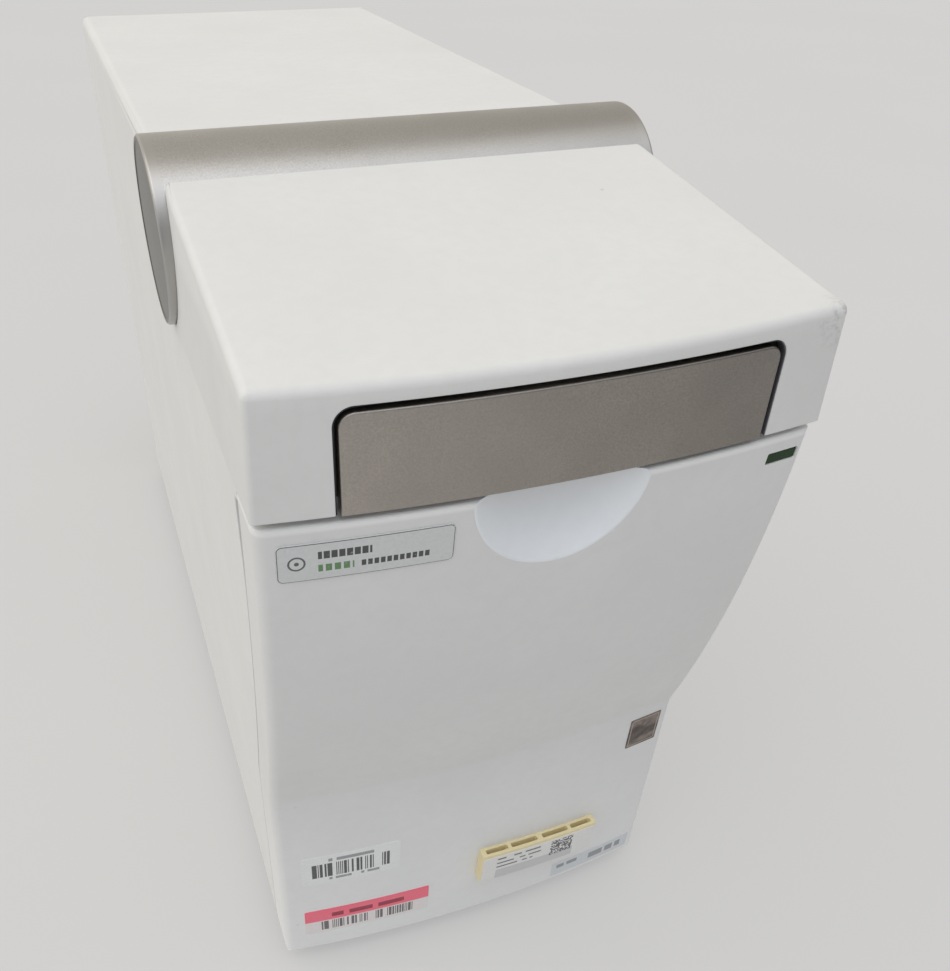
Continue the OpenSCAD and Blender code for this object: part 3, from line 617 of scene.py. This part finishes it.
def circuit_board(name, colour):
    """Solder mask with copper runs just under it."""
    p = Paint(name, IOR=1.5, Coat_Weight=0.4, Coat_Roughness=0.2)
    runs = p.add("ShaderNodeTexBrick")
    turn = p.add("ShaderNodeMapping")
    turn.inputs["Rotation"].default_value = (0, math.radians(90), 0)
    p.link(p.where, turn.inputs["Vector"])
    p.link(turn.outputs[0], runs.inputs["Vector"])
    runs.inputs["Scale"].default_value = 90
    runs.inputs["Mortar Size"].default_value = 0.012
    track = p.mix(runs.outputs["Fac"], colour, shade(colour, 1.9))
    toned = p.mix(p.span(p.noise(0.006, 4), 0.5, 0.7, 0, 0.6), track, shade(colour, 0.6))
    roughness = p.span(p.noise(0.002, 2), 0.3, 0.7, 0.32, 0.45)
    return p.done(toned, roughness, p.bump(runs.outputs["Fac"], 0.00003, 0.6))


def printed_label(name, paper, prints, rough=0.45, middle=None, tilt=0.0):
    """Coated label stock with printed blocks. Each print is (colour, mask maker).

    With a middle and a tilt, the masks are laid out from the label's own middle, along its own edges.
    """
    p = Paint(name, IOR=1.48)
    if middle:
        local = p.add("ShaderNodeMapping", vector_type="TEXTURE")
        local.inputs["Location"].default_value = middle
        local.inputs["Rotation"].default_value = (0, tilt, 0)
        p.link(p.where, local.inputs["Vector"])
        p.where = local.outputs["Vector"]
    fibre = p.noise(0.0009, 3, 0.6)
    base = p.mix(p.span(fibre, 0.35, 0.65), shade(paper, 1.02), shade(paper, 0.96))
    worn = p.span(p.noise(0.0016, 4, 0.7), 0.22, 0.36)
    for ink, mask in prints:
        base = p.mix(p.math("MULTIPLY", mask(p), p.math("MULTIPLY", worn, 0.92)), base, ink)
    roughness = p.span(p.noise(0.01, 2), 0.3, 0.7, rough - 0.05, rough + 0.08)
    return p.done(base, roughness, p.bump(fibre, 0.00002, 0.5))


def area(x0, x1, z0, z1):
    """Mask maker for a printed block. All the mask makers take millimetres."""

    def mask(p):
        x, y, z = p.axes()
        return p.math("MULTIPLY", p.within(x, x0 / 1000, x1 / 1000), p.within(z, z0 / 1000, z1 / 1000))

    return mask


def columns(block, pitch, share, seed):
    """A printed block cut into upright columns, of which a share is inked, picked by chance."""

    def mask(p):
        column = p.math("FLOOR", p.math("DIVIDE", p.axes()[0], pitch / 1000))
        dice = p.chance(number=p.math("ADD", column, seed))
        return p.math("MULTIPLY", p.math("LESS_THAN", dice, share), block(p))

    return mask


def bars(x0, x1, z0, z1, seed=0.0):
    """A bar code's uneven bars."""
    return columns(area(x0, x1, z0, z1), 0.36, 0.55, seed)


def words(x0, x1, z0, z1, length):
    """A row of print broken into word-long dashes."""
    return columns(area(x0, x1, z0, z1), length, 0.78, 11.0)


def squares(x0, x1, z0, z1, pitch, share):
    """A patch of scattered squares, of which a share is inked."""

    def mask(p):
        x, y, z = p.axes()
        join = p.add("ShaderNodeCombineXYZ")
        p.link(p.math("FLOOR", p.math("DIVIDE", x, pitch / 1000)), join.inputs[0])
        p.link(p.math("FLOOR", p.math("DIVIDE", z, pitch / 1000)), join.inputs[1])
        dark = p.math("LESS_THAN", p.chance(vector=join.outputs[0]), share)
        return p.math("MULTIPLY", dark, area(x0, x1, z0, z1)(p))

    return mask


def dashes(x0, x1, z0, z1, pitch, share):
    """A printed row cut into equal blocks, each filling a share of the pitch."""

    def mask(p):
        turn = p.math("FRACT", p.math("DIVIDE", p.axes()[0], pitch / 1000))
        return p.math("MULTIPLY", p.math("LESS_THAN", turn, share), area(x0, x1, z0, z1)(p))

    return mask


def ring(x0, z0, inner, outer):
    """A printed ring about a point."""

    def mask(p):
        x, y, z = p.axes()
        reach = p.hypot(p.math("SUBTRACT", x, x0 / 1000), p.math("SUBTRACT", z, z0 / 1000))
        return p.within(reach, inner / 1000, outer / 1000)

    return mask


def border(low, high, inset, width, corner):
    """A thin frame in another tone with round corners, a little inside a part's box."""

    def beyond(p, value, start, end):
        """How far a coordinate lies outside a range, 0 inside it."""
        middle = (start + end) / 2000
        away = p.math("ABSOLUTE", p.math("SUBTRACT", value, middle))
        return p.math("MAXIMUM", p.math("SUBTRACT", away, (end - start) / 2000), 0.0)

    def mask(p):
        x, y, z = p.axes()
        side = inset + corner
        over_x = beyond(p, x, low.x + side, high.x - side)
        over_z = beyond(p, z, low.z + side, high.z - side)
        reach = p.hypot(over_x, over_z)
        return p.within(reach, (corner - width) / 1000, corner / 1000)

    return mask


def embossed_foil(name, colour, low, high):
    """Crinkled dark foil with a pale frame and soft wavy zones."""
    p = Paint(name, Metallic=1.0)
    fold = p.noise(0.0035, 3, 0.6)
    fine = p.noise(0.0007, 3, 0.6)
    waves = p.add("ShaderNodeTexWave", wave_type="RINGS")
    waves.inputs["Scale"].default_value = 55
    waves.inputs["Distortion"].default_value = 5
    waves.inputs["Detail"].default_value = 2
    p.link(p.where, waves.inputs["Vector"])
    base = p.mix(p.span(waves.outputs["Fac"], 0.35, 0.75), shade(colour, 0.45), shade(colour, 1.25))
    creased = p.mix(p.span(fold, 0.42, 0.62), base, shade(colour, 0.7))
    frame_line = border(low, high, 0.7, 0.5, 0.8)
    framed = p.mix(frame_line(p), creased, shade(colour, 1.9))
    return p.done(framed, p.span(fine, 0.3, 0.7, 0.28, 0.42), p.bump(fold, 0.00008, 0.7))


def make_materials():
    """A look for every material slot of the record, and one for the black band of painted shade round the grip
    plate.
    """
    white = tone(231, 231, 229)
    lid_top = LID_FRONT_TOP / 1000
    panel_top = PANEL_HIGH.z / 1000
    corner_scuff = ((HALF_W / 1000, FRONT_Y / 1000 + 0.003, lid_top - 0.001), 0.012)
    # Painted shade: the lid's front and sides are drawn darker than its top.
    lid_painted_shade = (2, lid_top, lid_top - 0.005, 0.94)
    # Painted highlight along the panel's top edge, and painted light from the floor making the panel brighter
    # towards its foot.
    panel_painted_light = [(2, panel_top - 0.004, panel_top - 0.003, 1.18), (2, 0.1, 0.0, 1.12)]
    # Painted light: the band round the grip plate is drawn lighter on its right side.
    gap_band_painted_light = (0, 0.056, 0.058, 12)
    return {
        "cover_plastic": moulded("cover plastic", white),
        "panel_plastic": moulded("panel plastic", tone(228, 228, 227), painted_light=panel_painted_light),
        # Partly a whiter plastic and partly painted light: the dish is drawn lighter and bluer than the panel
        # because it faces up.
        "scoop_plastic": moulded("scoop plastic", tone(242, 245, 248), 0.5, depth=0.00001, dirt=0),
        "lid_plastic": moulded("lid plastic", white, dirt=0.35, scuffs=[corner_scuff], painted_light=[lid_painted_shade]),
        "roller_metal": satin_metal("roller metal", tone(181, 179, 176), 0.3),
        # Painted shade: the grip plate is drawn darker towards its right end.
        "grip_metal": satin_metal("grip metal", tone(166, 160, 153), 0.42, across=(0.06, 1.12, 0.68)),
        "black_plastic": moulded("black plastic", tone(22, 22, 23), 0.5, dirt=0),
        "foot_rubber": rubber("foot rubber", tone(38, 38, 38)),
        "steel_sheet": sheet_metal("steel sheet", tone(196, 198, 200)),
        "bright_steel": bright_metal("bright steel", tone(205, 206, 208)),
        # Painted shade: a black band put in the gap round the grip plate, where there is only shade.
        "gap_painted_shade": moulded("gap painted shade", tone(24, 24, 26), 0.5, dirt=0, painted_light=[gap_band_painted_light]),
        "lens_green": window_green("green window", tone(15, 54, 12)),
        "badge_silver": satin_metal("badge film", tone(214, 215, 215), 0.4, metallic=0.5),
        "foil_grey": embossed_foil("foil", tone(128, 118, 112), *box_mm("foil_seal")),
        "label_white": printed_label("label stock", tone(236, 236, 234), []),
        "label_pink": printed_label("pink label", tone(238, 92, 122), []),
        "ivory_plastic": moulded("ivory plastic", tone(236, 222, 178), 0.4, depth=0.00002),
        "deck_plastic": moulded("deck plastic", tone(182, 183, 184), 0.5),
        "cast_alloy": satin_metal("machined alloy", tone(190, 191, 192), 0.3),
        "brass_part": brass("brass", tone(200, 166, 104)),
        "blue_plastic": gloss_plastic("blue plastic", tone(40, 82, 160)),
        "lens_glass": glass("lens glass", tone(236, 244, 248)),
        "board_green": circuit_board("circuit board", tone(22, 74, 44)),
        "potting_grey": moulded("potting", tone(92, 96, 102), 0.45, dirt=0),
        "wire_jacket": gloss_plastic("wire jacket", tone(150, 34, 34), 0.45),
        "lever_grey": moulded("lever grey", tone(96, 98, 101), 0.45),
    }


LOOKS = make_materials()


# ---- pieces ----


def cover_shell():
    """Main cover: upright walls and a roof with rounded edges, cut back for the lid and the roller."""

    def outer_edge(x, y, z):
        if y == 0 and z == 1:
            return 4
        return 0.8 if y == 1 else 0.5

    def inner_edge(x, y, z):
        return 2.5 if y == 0 and z == 1 else 0.1

    shell = rounded_box((-HALF_W, FRONT_Y, COVER_LOW.z), (HALF_W, BACK_Y, COVER_HIGH.z), outer_edge, 6)
    inner = rounded_box((-HALF_W + WALL, FRONT_Y - PAST, 0),
                        (HALF_W - WALL, BACK_Y + PAST, COVER_HIGH.z - WALL), inner_edge, 4)
    carve(shell, inner)
    side, above = HALF_W + PAST, COVER_HIGH.z + PAST
    room = plain_box((-side, -60, -PAST), (side, WRAP + SEAM, above))
    slice_at(room, 0, steps_between(1 - side, side - 1, 8))
    slice_at(room, 2, [CREASE_Z] + steps_between(CREASE_Z, FACE_TOP, 6) + [SEAM_TOP, SEAM_TOP + 1])
    carve(shell, warp(room, lambda p: on_panel(Vector((p.x, p.y + seam_shift(p.z), p.z)))))
    carve(shell, plain_box((-side, FRONT_Y - PAST, LID_Z - LID_GAP), (side, HINGE_Y, above)))
    carve(shell, hinge_cylinder(ROLLER_R + COVER_ROOM))
    ease(shell, 0.35)
    place(shell, "cover_moulding", "base", "cover_plastic", ["main_cover"])


def seam_shift(z):
    """How much wider the seam beside the front panel is at a height: a wedge that closes near the lid."""
    widest, length, closed = 4, 40, 0.15
    if z > SEAM_TOP + 0.5:
        return closed - SEAM
    return widest * max(0, (z - FACE_TOP + length) / length) ** 1.5


def hinge_cylinder(radius):
    """A cutter about the hinge, longer than the object is wide."""
    half = HALF_W + PAST
    return shifted(lathed([(0, -half), (radius, -half), (radius, half), (0, half)]), HINGE_Y, HINGE_Z)


def panel_block(depth):
    """The front panel's outer form down to a depth behind its face."""

    def edge(x, y, z):
        if y == -1:
            return 3 if x else 1 if z == 1 else 0.4
        return 2.2 if y == 1 and z == 1 else 0.8

    block = rounded_box((-HALF_W, 0, PANEL_LOW.z), (HALF_W, depth, PANEL_HIGH.z - PANEL_DROP), edge, 5)
    slice_at(block, 0, steps_between(-BEND_X, BEND_X, 6) + [-BEND_X, BEND_X])
    slice_at(block, 2, [CREASE_Z] + steps_between(CREASE_Z, FACE_TOP, 6) + steps_between(20, CREASE_Z, 20))
    return warp(block, on_panel)


def scoop_ball(radius):
    """A ball about the centre of the finger scoop's dish."""
    steps = 64
    turns = [math.pi * i / steps for i in range(1, steps)]
    profile = [(radius * math.sin(turn), -radius * math.cos(turn)) for turn in turns]
    ball = lathed([(0, -radius)] + profile + [(0, radius)])
    return shifted(ball, TOP_Y - SCOOP_R + SCOOP_DEPTH, FACE_TOP)


def front_panel():
    """The bowed panel: hollow behind, a shelf along its top, the scoop's mouth and the lens's opening."""
    shell = panel_block(WRAP)
    inside = HALF_W - WALL
    hollow = plain_box((-inside, WALL, -PAST), (inside, WRAP + PAST, FACE_TOP), 0.5)
    shelf = plain_box((-inside, 12, FACE_TOP - PAST), (inside, WRAP + PAST, FACE_TOP + 20), 0.3)
    slice_at(hollow, 2, [CREASE_Z] + steps_between(CREASE_Z, FACE_TOP, 12))
    for cutter in (hollow, shelf):
        slice_at(cutter, 0, steps_between(-BEND_X, BEND_X, 12))
        carve(shell, warp(cutter, on_panel))
    carve(shell, scoop_ball(SCOOP_R + SCOOP_LIP))
    window = extruded(patch_outline(LENS_LOW.x, LENS_HIGH.x, LENS_LOW.z, LENS_HIGH.z, 0.4), 1, -5, PAST)
    carve(shell, warp(window, on_panel))
    ease(shell, 0.25)
    place(shell, "front_panel_moulding", "base", "panel_plastic", ["front_panel"])


def finger_scoop():
    """The dish: a thin lip inside the panel's skin, full thickness behind it."""
    half, below, slack = 40, 50, 0.1
    dish = panel_block(14)
    carve(dish, scoop_ball(SCOOP_R + SCOOP_WALL), "INTERSECT")
    skin = plain_box((-half, -3, FACE_TOP - below), (half, WALL + slack, FACE_TOP + PAST))
    ledge = plain_box((-half, -2, FACE_TOP - slack), (half, 15, FACE_TOP + 8))
    for part in (skin, ledge):
        slice_at(part, 0, steps_between(-half, half, 8))
        slice_at(part, 2, steps_between(FACE_TOP - below, FACE_TOP - 1, 8))
        warp(part, on_panel)
    carve(skin, ledge, "UNION")
    carve(skin, scoop_ball(SCOOP_R + SCOOP_LIP - 0.03))
    carve(dish, skin)
    carve(dish, scoop_ball(SCOOP_R))
    place(dish, "scoop_dish", "base", "scoop_plastic", ["finger_scoop"])


def status_lens():
    """The green window, a little smaller than its opening and just under the panel's face."""
    slack, sunk = 0.05, 0.2
    outline = patch_outline(LENS_LOW.x + slack, LENS_HIGH.x - slack,
                            LENS_LOW.z + slack, LENS_HIGH.z - slack, 0.5)
    lens = extruded(outline, 1, sunk, WALL + 1, 0.35, 4)
    slice_at(lens, 0, steps_between(LENS_LOW.x, LENS_HIGH.x, 3))
    place(warp(lens, on_panel), "lens_window", "base", "lens_green", ["status_lens"])


def on_strip(p):
    """From the slotted strip's own middle to its place on the panel's face, a little out of level."""
    x = p.x * math.cos(STRIP_TILT) + p.z * math.sin(STRIP_TILT) + STRIP_X
    z = p.z * math.cos(STRIP_TILT) - p.x * math.sin(STRIP_TILT) + STRIP_Z
    return on_panel(Vector((x, p.y, z)))


def slot_strip():
    """The ivory strip with four pockets in its top edge, and the printed card on its face."""
    front = -STRIP_THICK
    strip = rounded_box((-STRIP_HALF_W, front, -STRIP_HALF_H), (STRIP_HALF_W, 0, STRIP_HALF_H),
                        lambda x, y, z: 0.6 if y < 1 else 0.15, 3)
    for start, end in STRIP_SLOTS:
        pocket = patch_outline(start, end, -3.0, -1.2, 0.4)
        carve(strip, extruded(pocket, 2, STRIP_HALF_H - 5, STRIP_HALF_H + 2))
    ease(strip, 0.15, 60)
    margin = 0.5
    outline = patch_outline(margin - STRIP_HALF_W, STRIP_HALF_W - margin,
                            margin - STRIP_HALF_H, STRIP_HALF_H - 1.6, 0.6)
    card = extruded(outline, 1, front - 0.2, front, 0.07, 2)
    for part in (strip, card):
        slice_at(part, 0, steps_between(-STRIP_HALF_W, STRIP_HALF_W, 6))
        warp(part, on_strip)
    ink = tone(96, 97, 100)
    look = printed_label("strip card", tone(233, 232, 229), [
        (ink, words(-19, 0, 4.2, 5.1, 1.7)),
        (ink, words(-19, 0.5, 1.6, 2.4, 1.3)),
        (ink, words(-19, -3, -0.8, 0.0, 1.1)),
        (tone(205, 203, 204), area(-19, 16, -7.7, -2.2)),
        (tone(74, 76, 80), squares(5, 15, -3.6, 5.6, 0.62, 0.62)),
    ], middle=(STRIP_X / 1000, 0, STRIP_Z / 1000), tilt=STRIP_TILT)
    place(strip, "strip_holder", "base", "ivory_plastic", ["slot_strip"])
    place(card, "strip_card", "base", SLOT_OF["slot_strip_card"], ["slot_strip_card"], look)


def lid_block(inset=0.0, bottom=0.0, corner=1.6, top=2.2, steps=5):
    """The lid's outer form: bowed leaning front, drafted sides, sloping top."""
    height = LID_FRONT_TOP - LID_Z
    depth = HINGE_Y - FRONT_Y
    straight = height - 4  # the sides stretch up to here, and the top edge above keeps its form

    def edge(x, y, z):
        if z == 1:
            return top
        if y == -1 and z == 0:
            return corner
        return 0.5 if z == -1 else 0.01

    half = LID_HALF - inset
    block = rounded_box((-half, inset, bottom), (half, depth, height - inset), edge, steps)
    slice_at(block, 0, steps_between(6 - LID_HALF, LID_HALF - 6, 6))
    slice_at(block, 1, steps_between(6, depth, 16))

    def to_lid(p):
        bowing = bowed(p.x, FRONT_Y + p.z * LID_LEAN) - FRONT_Y
        y = FRONT_Y + p.y + bowing * (1 - p.y / depth)
        rise = (y - FRONT_Y) * LID_SLOPE
        z = p.z
        if z > straight:
            z += rise
        elif z > 0:
            z *= (straight + rise) / straight
        return Vector((p.x * (1 - z * LID_DRAFT / LID_HALF), y, LID_Z + z))

    return warp(block, to_lid)


def lid_shell():
    """The hollow lid, cut away round the roller and for the grip plate."""
    shell = lid_block()
    carve(shell, hinge_cylinder(ROLLER_R + LID_ROOM))
    hollow = lid_block(WALL, -PAST, corner=1, top=1, steps=2)
    carve(hollow, hinge_cylinder(ROLLER_R + LID_ROOM + WALL))
    carve(shell, hollow)
    notch = arch(GRIP_HALF, LID_Z - PAST, GRIP_TOP, GRIP_CORNER)
    carve(shell, extruded(notch, 1, FRONT_Y - 12, FRONT_Y + 14))
    ease(shell, 0.4)
    place(shell, "lid_moulding", "lid", "lid_plastic", ["lid_shell"])


def grip_plate():
    """The flat grey plate, its front edge rounded."""
    low, high = box_mm("grip_plate")
    plate = extruded(arch(high.x, low.z, high.z, GRIP_CORNER - 1), 1, 0.2, 3.2, 0.6)
    slice_at(plate, 0, steps_between(-high.x, high.x, 5))
    place(warp(plate, on_lid_front), "grip_plate_skin", "lid", "grip_metal", ["grip_plate"])


def grip_gap_painted_shade():
    """Black band of painted shade along the sides and the top of the opening round the grip plate, its look
    lighter on the right as painted light.
    """
    thick, slack, front, back = 0.3, 0.02, 0.3, 5.5
    foot = LID_Z + 0.3
    outer = arch(GRIP_HALF - slack, foot, GRIP_TOP - slack, GRIP_CORNER)
    inner = arch(GRIP_HALF - thick, foot, GRIP_TOP - thick, GRIP_CORNER - thick)
    bm = bmesh.new()
    corners = ((outer, front), (inner, front), (inner, back), (outer, back))
    rails = [[bm.verts.new((x, y, z)) for x, z in path[1:] + path[:1]] for path, y in corners]
    for one, two in zip(rails, rails[1:] + rails[:1]):
        for i in range(len(outer) - 1):
            bm.faces.new((one[i], one[i + 1], two[i + 1], two[i]))
    for end in (0, -1):
        bm.faces.new([rail[end] for rail in rails])
    bmesh.ops.recalc_face_normals(bm, faces=bm.faces[:])
    band = warp(work_object(bm), on_lid_front)
    place(band, "grip_gap_painted_shade", "lid", "black_plastic", look=LOOKS["gap_painted_shade"])


def on_hinge(radius, degrees):
    """A point (y, z) at a radius and an angle about the hinge."""
    angle = math.radians(degrees)
    return HINGE_Y + radius * math.cos(angle), HINGE_Z + radius * math.sin(angle)


def roller():
    """Open-backed extrusion and its two turned end caps."""
    start, end, count = 36, 301, 96
    inner = ROLLER_R - ROLLER_WALL
    turns = [start + (end - start) * i / count for i in range(count + 1)]
    outline = [on_hinge(ROLLER_R, turn) for turn in turns]
    outline += [on_hinge(inner, turn) for turn in reversed(turns)]
    tube = extruded(outline, 0, -CAP_IN, CAP_IN)
    slice_at(tube, 0, steps_between(-CAP_IN, CAP_IN, 20))
    place(tube, "roller_skin", "lid", "roller_metal", ["roller_tube"])
    # Painted shade: the caps' faces are drawn darker than their rim and the tube, though all are one metal.
    look = turned_metal("roller end", tone(108, 104, 98), tone(181, 179, 176), (ROLLER_R - 0.6) / 1000)
    crown_r, crown_dip, fillet = 26, 0.3, 1
    crown = [(r, CAP_OUT - crown_dip * (r / crown_r) ** 2) for r in (0, 4, 8, 12, 16, 20, 23, crown_r)]
    rim = [(r, x) for x, r in quarter(CAP_OUT - fillet, ROLLER_R - fillet, fillet, 0, 9)]
    plug_r, plug_bore, plug_end = inner - 0.1, 12, CAP_IN - 4
    plug = [(plug_r, CAP_IN), (plug_r, plug_end), (plug_bore, plug_end), (plug_bore, CAP_IN), (0, CAP_IN)]
    profile = crown + [(crown_r + 0.3, CAP_OUT)] + rim + [(ROLLER_R, CAP_IN)] + plug
    for side, name in ((-1, "left"), (1, "right")):
        cap = shifted(lathed([(r, side * x) for r, x in profile]), HINGE_Y, HINGE_Z)
        place(cap, f"roller_end_{name}", "lid", "roller_metal", [f"roller_cap_{name}"], look)


def front_patch(node, name, look, proud=0.15, edge=0.06, radius=0.8):
    """A thin sticker or plate that follows the front panel over a CAD node's outline."""
    low, high = box_mm(node)
    patch = extruded(patch_outline(low.x, high.x, low.z, high.z, radius), 1, -proud, 0.0, edge, 2)
    slice_at(patch, 0, steps_between(low.x, high.x, 5))
    slice_at(patch, 2, steps_between(low.z, high.z, 5))
    place(warp(patch, on_panel), name, "base", SLOT_OF[node], [node], look)


def stickers():
    """The name badge, the foil seal and three labels, all with generic print."""
    ink = tone(52, 53, 56)
    black = tone(44, 44, 45)
    grey = tone(150, 151, 154)
    ring_grey = tone(80, 80, 82)
    badge = printed_label("name badge", tone(214, 216, 216), [
        # A thin dark frame just inside the badge's edge.
        (tone(96, 94, 92), border(*box_mm("name_badge"), 0.1, 0.22, 1.5)),
        (black, dashes(-63.4, -50.2, 223.4, 225.7, 1.88, 0.8)),
        (tone(84, 132, 74), dashes(-63.4, -54.6, 219.4, 221.6, 2.2, 0.7)),
        (black, dashes(-53.2, -35.6, 219.6, 221.4, 1.6, 0.72)),
        (ring_grey, ring(-68.6, 222.6, 1.7, 2.2)),
        (ring_grey, ring(-68.6, 222.6, 0, 0.6)),
    ], rough=0.3)
    barcode = printed_label("bar code label", tone(236, 237, 236), [
        (ink, bars(-66.5, -37, 56.4, 64.6)),
        (grey, words(-62, -43, 65.6, 67.4, 1.5)),
        (grey, words(-60, -41, 54.2, 55.6, 1.2)),
    ])
    asset = printed_label("asset label", tone(236, 230, 228), [
        (tone(250, 98, 124), area(-72, -18, 27, 36)),
        (tone(92, 88, 92), bars(-64, -27, 20.6, 26.4, seed=7.0)),
        (tone(150, 46, 68), words(-60, -31, 28.8, 31.4, 2.3)),
    ])
    service = printed_label("service label", tone(218, 221, 224), [
        (grey, words(38, 48, 15.6, 18, 1.3)),
        (grey, words(54, 70.4, 13.6, 17.4, 1.3)),
    ])
    front_patch("name_badge", "badge_plate", badge, proud=0.5, edge=0.25, radius=1.6)
    front_patch("foil_seal", "foil_patch", LOOKS["foil_grey"], radius=0.6)
    front_patch("barcode_label", "barcode_sticker", barcode)
    front_patch("asset_label", "asset_sticker", asset)
    front_patch("service_label", "service_sticker", service)


def plain_nodes():
    """CAD nodes whose shape stays: joined faces, small eased edges and their own look."""
    for name, obj in NODES.items():
        obj.data.materials.clear()
        obj.data.materials.append(LOOKS[SLOT_OF[name]])
        weld = obj.modifiers.new("weld", "WELD")
        weld.merge_threshold = 1e-6
        flats = obj.modifiers.new("flats", "DECIMATE")
        flats.decimate_type = "DISSOLVE"
        flats.angle_limit = math.radians(0.3)
        low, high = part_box(name)
        edge = obj.modifiers.new("edge", "BEVEL")
        edge.limit_method = "ANGLE"
        edge.angle_limit = math.radians(50)
        edge.width = min(0.00025, 0.02 * min(high - low))
        edge.segments = 2
        edge.harden_normals = True


# ---- camera, floor and light ----


def add_camera():
    """The photograph's view point and framing."""
    data = bpy.data.cameras.new("camera")
    data.lens = 33.87
    data.sensor_width = 36
    data.shift_x = 0.0792
    data.shift_y = 0.0678
    data.clip_start = 0.01
    data.clip_end = 50
    camera = bpy.data.objects.new("camera", data)
    eye = (-0.1035, -0.3681, 0.3597)
    pan = Matrix.Rotation(math.radians(-19.89), 4, "Z")
    tilt = Matrix.Rotation(math.radians(90 - 38.02), 4, "X")
    roll = Matrix.Rotation(math.radians(1.08), 4, "Z")
    camera.matrix_world = Matrix.Translation(eye) @ pan @ tilt @ roll
    bpy.context.scene.collection.objects.link(camera)
    bpy.context.scene.camera = camera


def add_floor():
    """A pale round bench top with no highlight, lit a little from within like the photograph's."""
    bm = bmesh.new()
    bmesh.ops.create_circle(bm, cap_ends=True, radius=9, segments=96)
    floor = work_object(bm, "floor")
    p = Paint("floor", Emission_Color=tone(211, 211, 210), Emission_Strength=0.5, Specular_IOR_Level=0.0)
    cloud = p.noise(0.35, 3)
    base = p.mix(p.span(cloud, 0.35, 0.7), tone(158, 157, 156), tone(156, 155, 154))
    p.done(base, p.span(cloud, 0.3, 0.7, 0.68, 0.72))
    floor.data.materials.append(p.material)


def add_suns():
    """Two broad weak suns for soft shadows; away is the way each one shines."""
    for name, energy, away in (("left panel", 0.36, (0.55, -0.05, -0.83)),
                               ("right panel", 0.12, (-0.75, 0.1, -0.65))):
        sun = bpy.data.lights.new(name, "SUN")
        sun.energy = energy
        sun.angle = math.radians(55)
        light = bpy.data.objects.new(name, sun)
        light.rotation_euler = Vector(away).to_track_quat("-Z", "Y").to_euler()
        bpy.context.scene.collection.objects.link(light)


def add_room():
    """World light: bright overhead, dim low in front, even behind, stronger from the left.

    The camera sees a plain backdrop in its place.
    """
    front_low, front_high, back_level = 0.28, 1.75, 0.72
    back_from, front_from = 0.35, -0.42
    left_gain, least = -0.26, 0.02
    left_hue, right_hue, back_hue = (1.01, 1.02, 1.03, 1), (0.96, 1.0, 1.09, 1), (1.0, 0.95, 0.86, 1)
    world = bpy.data.worlds.new("room")
    bpy.context.scene.world = world
    world.use_nodes = True
    tree = world.node_tree
    tree.nodes.clear()

    def node(kind, sockets, **settings):
        made = tree.nodes.new(kind)
        for key, value in settings.items():
            setattr(made, key, value)
        for socket, value in sockets.items():
            if isinstance(value, bpy.types.NodeSocket):
                tree.links.new(value, made.inputs[socket])
            else:
                made.inputs[socket].default_value = value
        return made

    def number(how, a, b, c=0.0):
        return node("ShaderNodeMath", {0: a, 1: b, 2: c}, operation=how).outputs[0]

    def colour(factor, a, b):
        return node("ShaderNodeMix", {"Factor": factor, 6: a, 7: b}, data_type="RGBA").outputs[2]

    where = node("ShaderNodeTexCoord", {}).outputs["Generated"]
    x, y, z = node("ShaderNodeSeparateXYZ", {0: where}).outputs
    steep = number("POWER", number("MAXIMUM", z, 0.0), 3.0)
    front = number("MULTIPLY_ADD", steep, front_high, front_low)
    side = node("ShaderNodeMapRange", {0: y, 1: back_from, 2: front_from}, clamp=True,
                interpolation_type="SMOOTHSTEP").outputs[0]
    rise = node("ShaderNodeMix", {"Factor": side, 2: back_level, 3: front}).outputs[0]
    level = number("MAXIMUM", number("MULTIPLY_ADD", x, left_gain, rise), least)
    across = node("ShaderNodeMapRange", {0: x, 1: -1.0, 2: 1.0}, clamp=True).outputs[0]
    toned = colour(side, back_hue, colour(across, left_hue, right_hue))
    room = node("ShaderNodeBackground", {"Color": toned, "Strength": level})
    plain = node("ShaderNodeBackground", {"Color": tone(212, 211, 209), "Strength": 1.0})
    seen = node("ShaderNodeLightPath", {}).outputs["Is Camera Ray"]
    both = node("ShaderNodeMixShader", {0: seen, 1: room.outputs[0], 2: plain.outputs[0]})
    node("ShaderNodeOutputWorld", {0: both.outputs[0]})


bpy.context.scene.view_settings.view_transform = "Standard"
plain_nodes()
cover_shell()
front_panel()
finger_scoop()
lid_shell()
grip_plate()
grip_gap_painted_shade()
roller()
status_lens()
slot_strip()
stickers()
add_camera()
add_floor()
add_suns()
add_room()
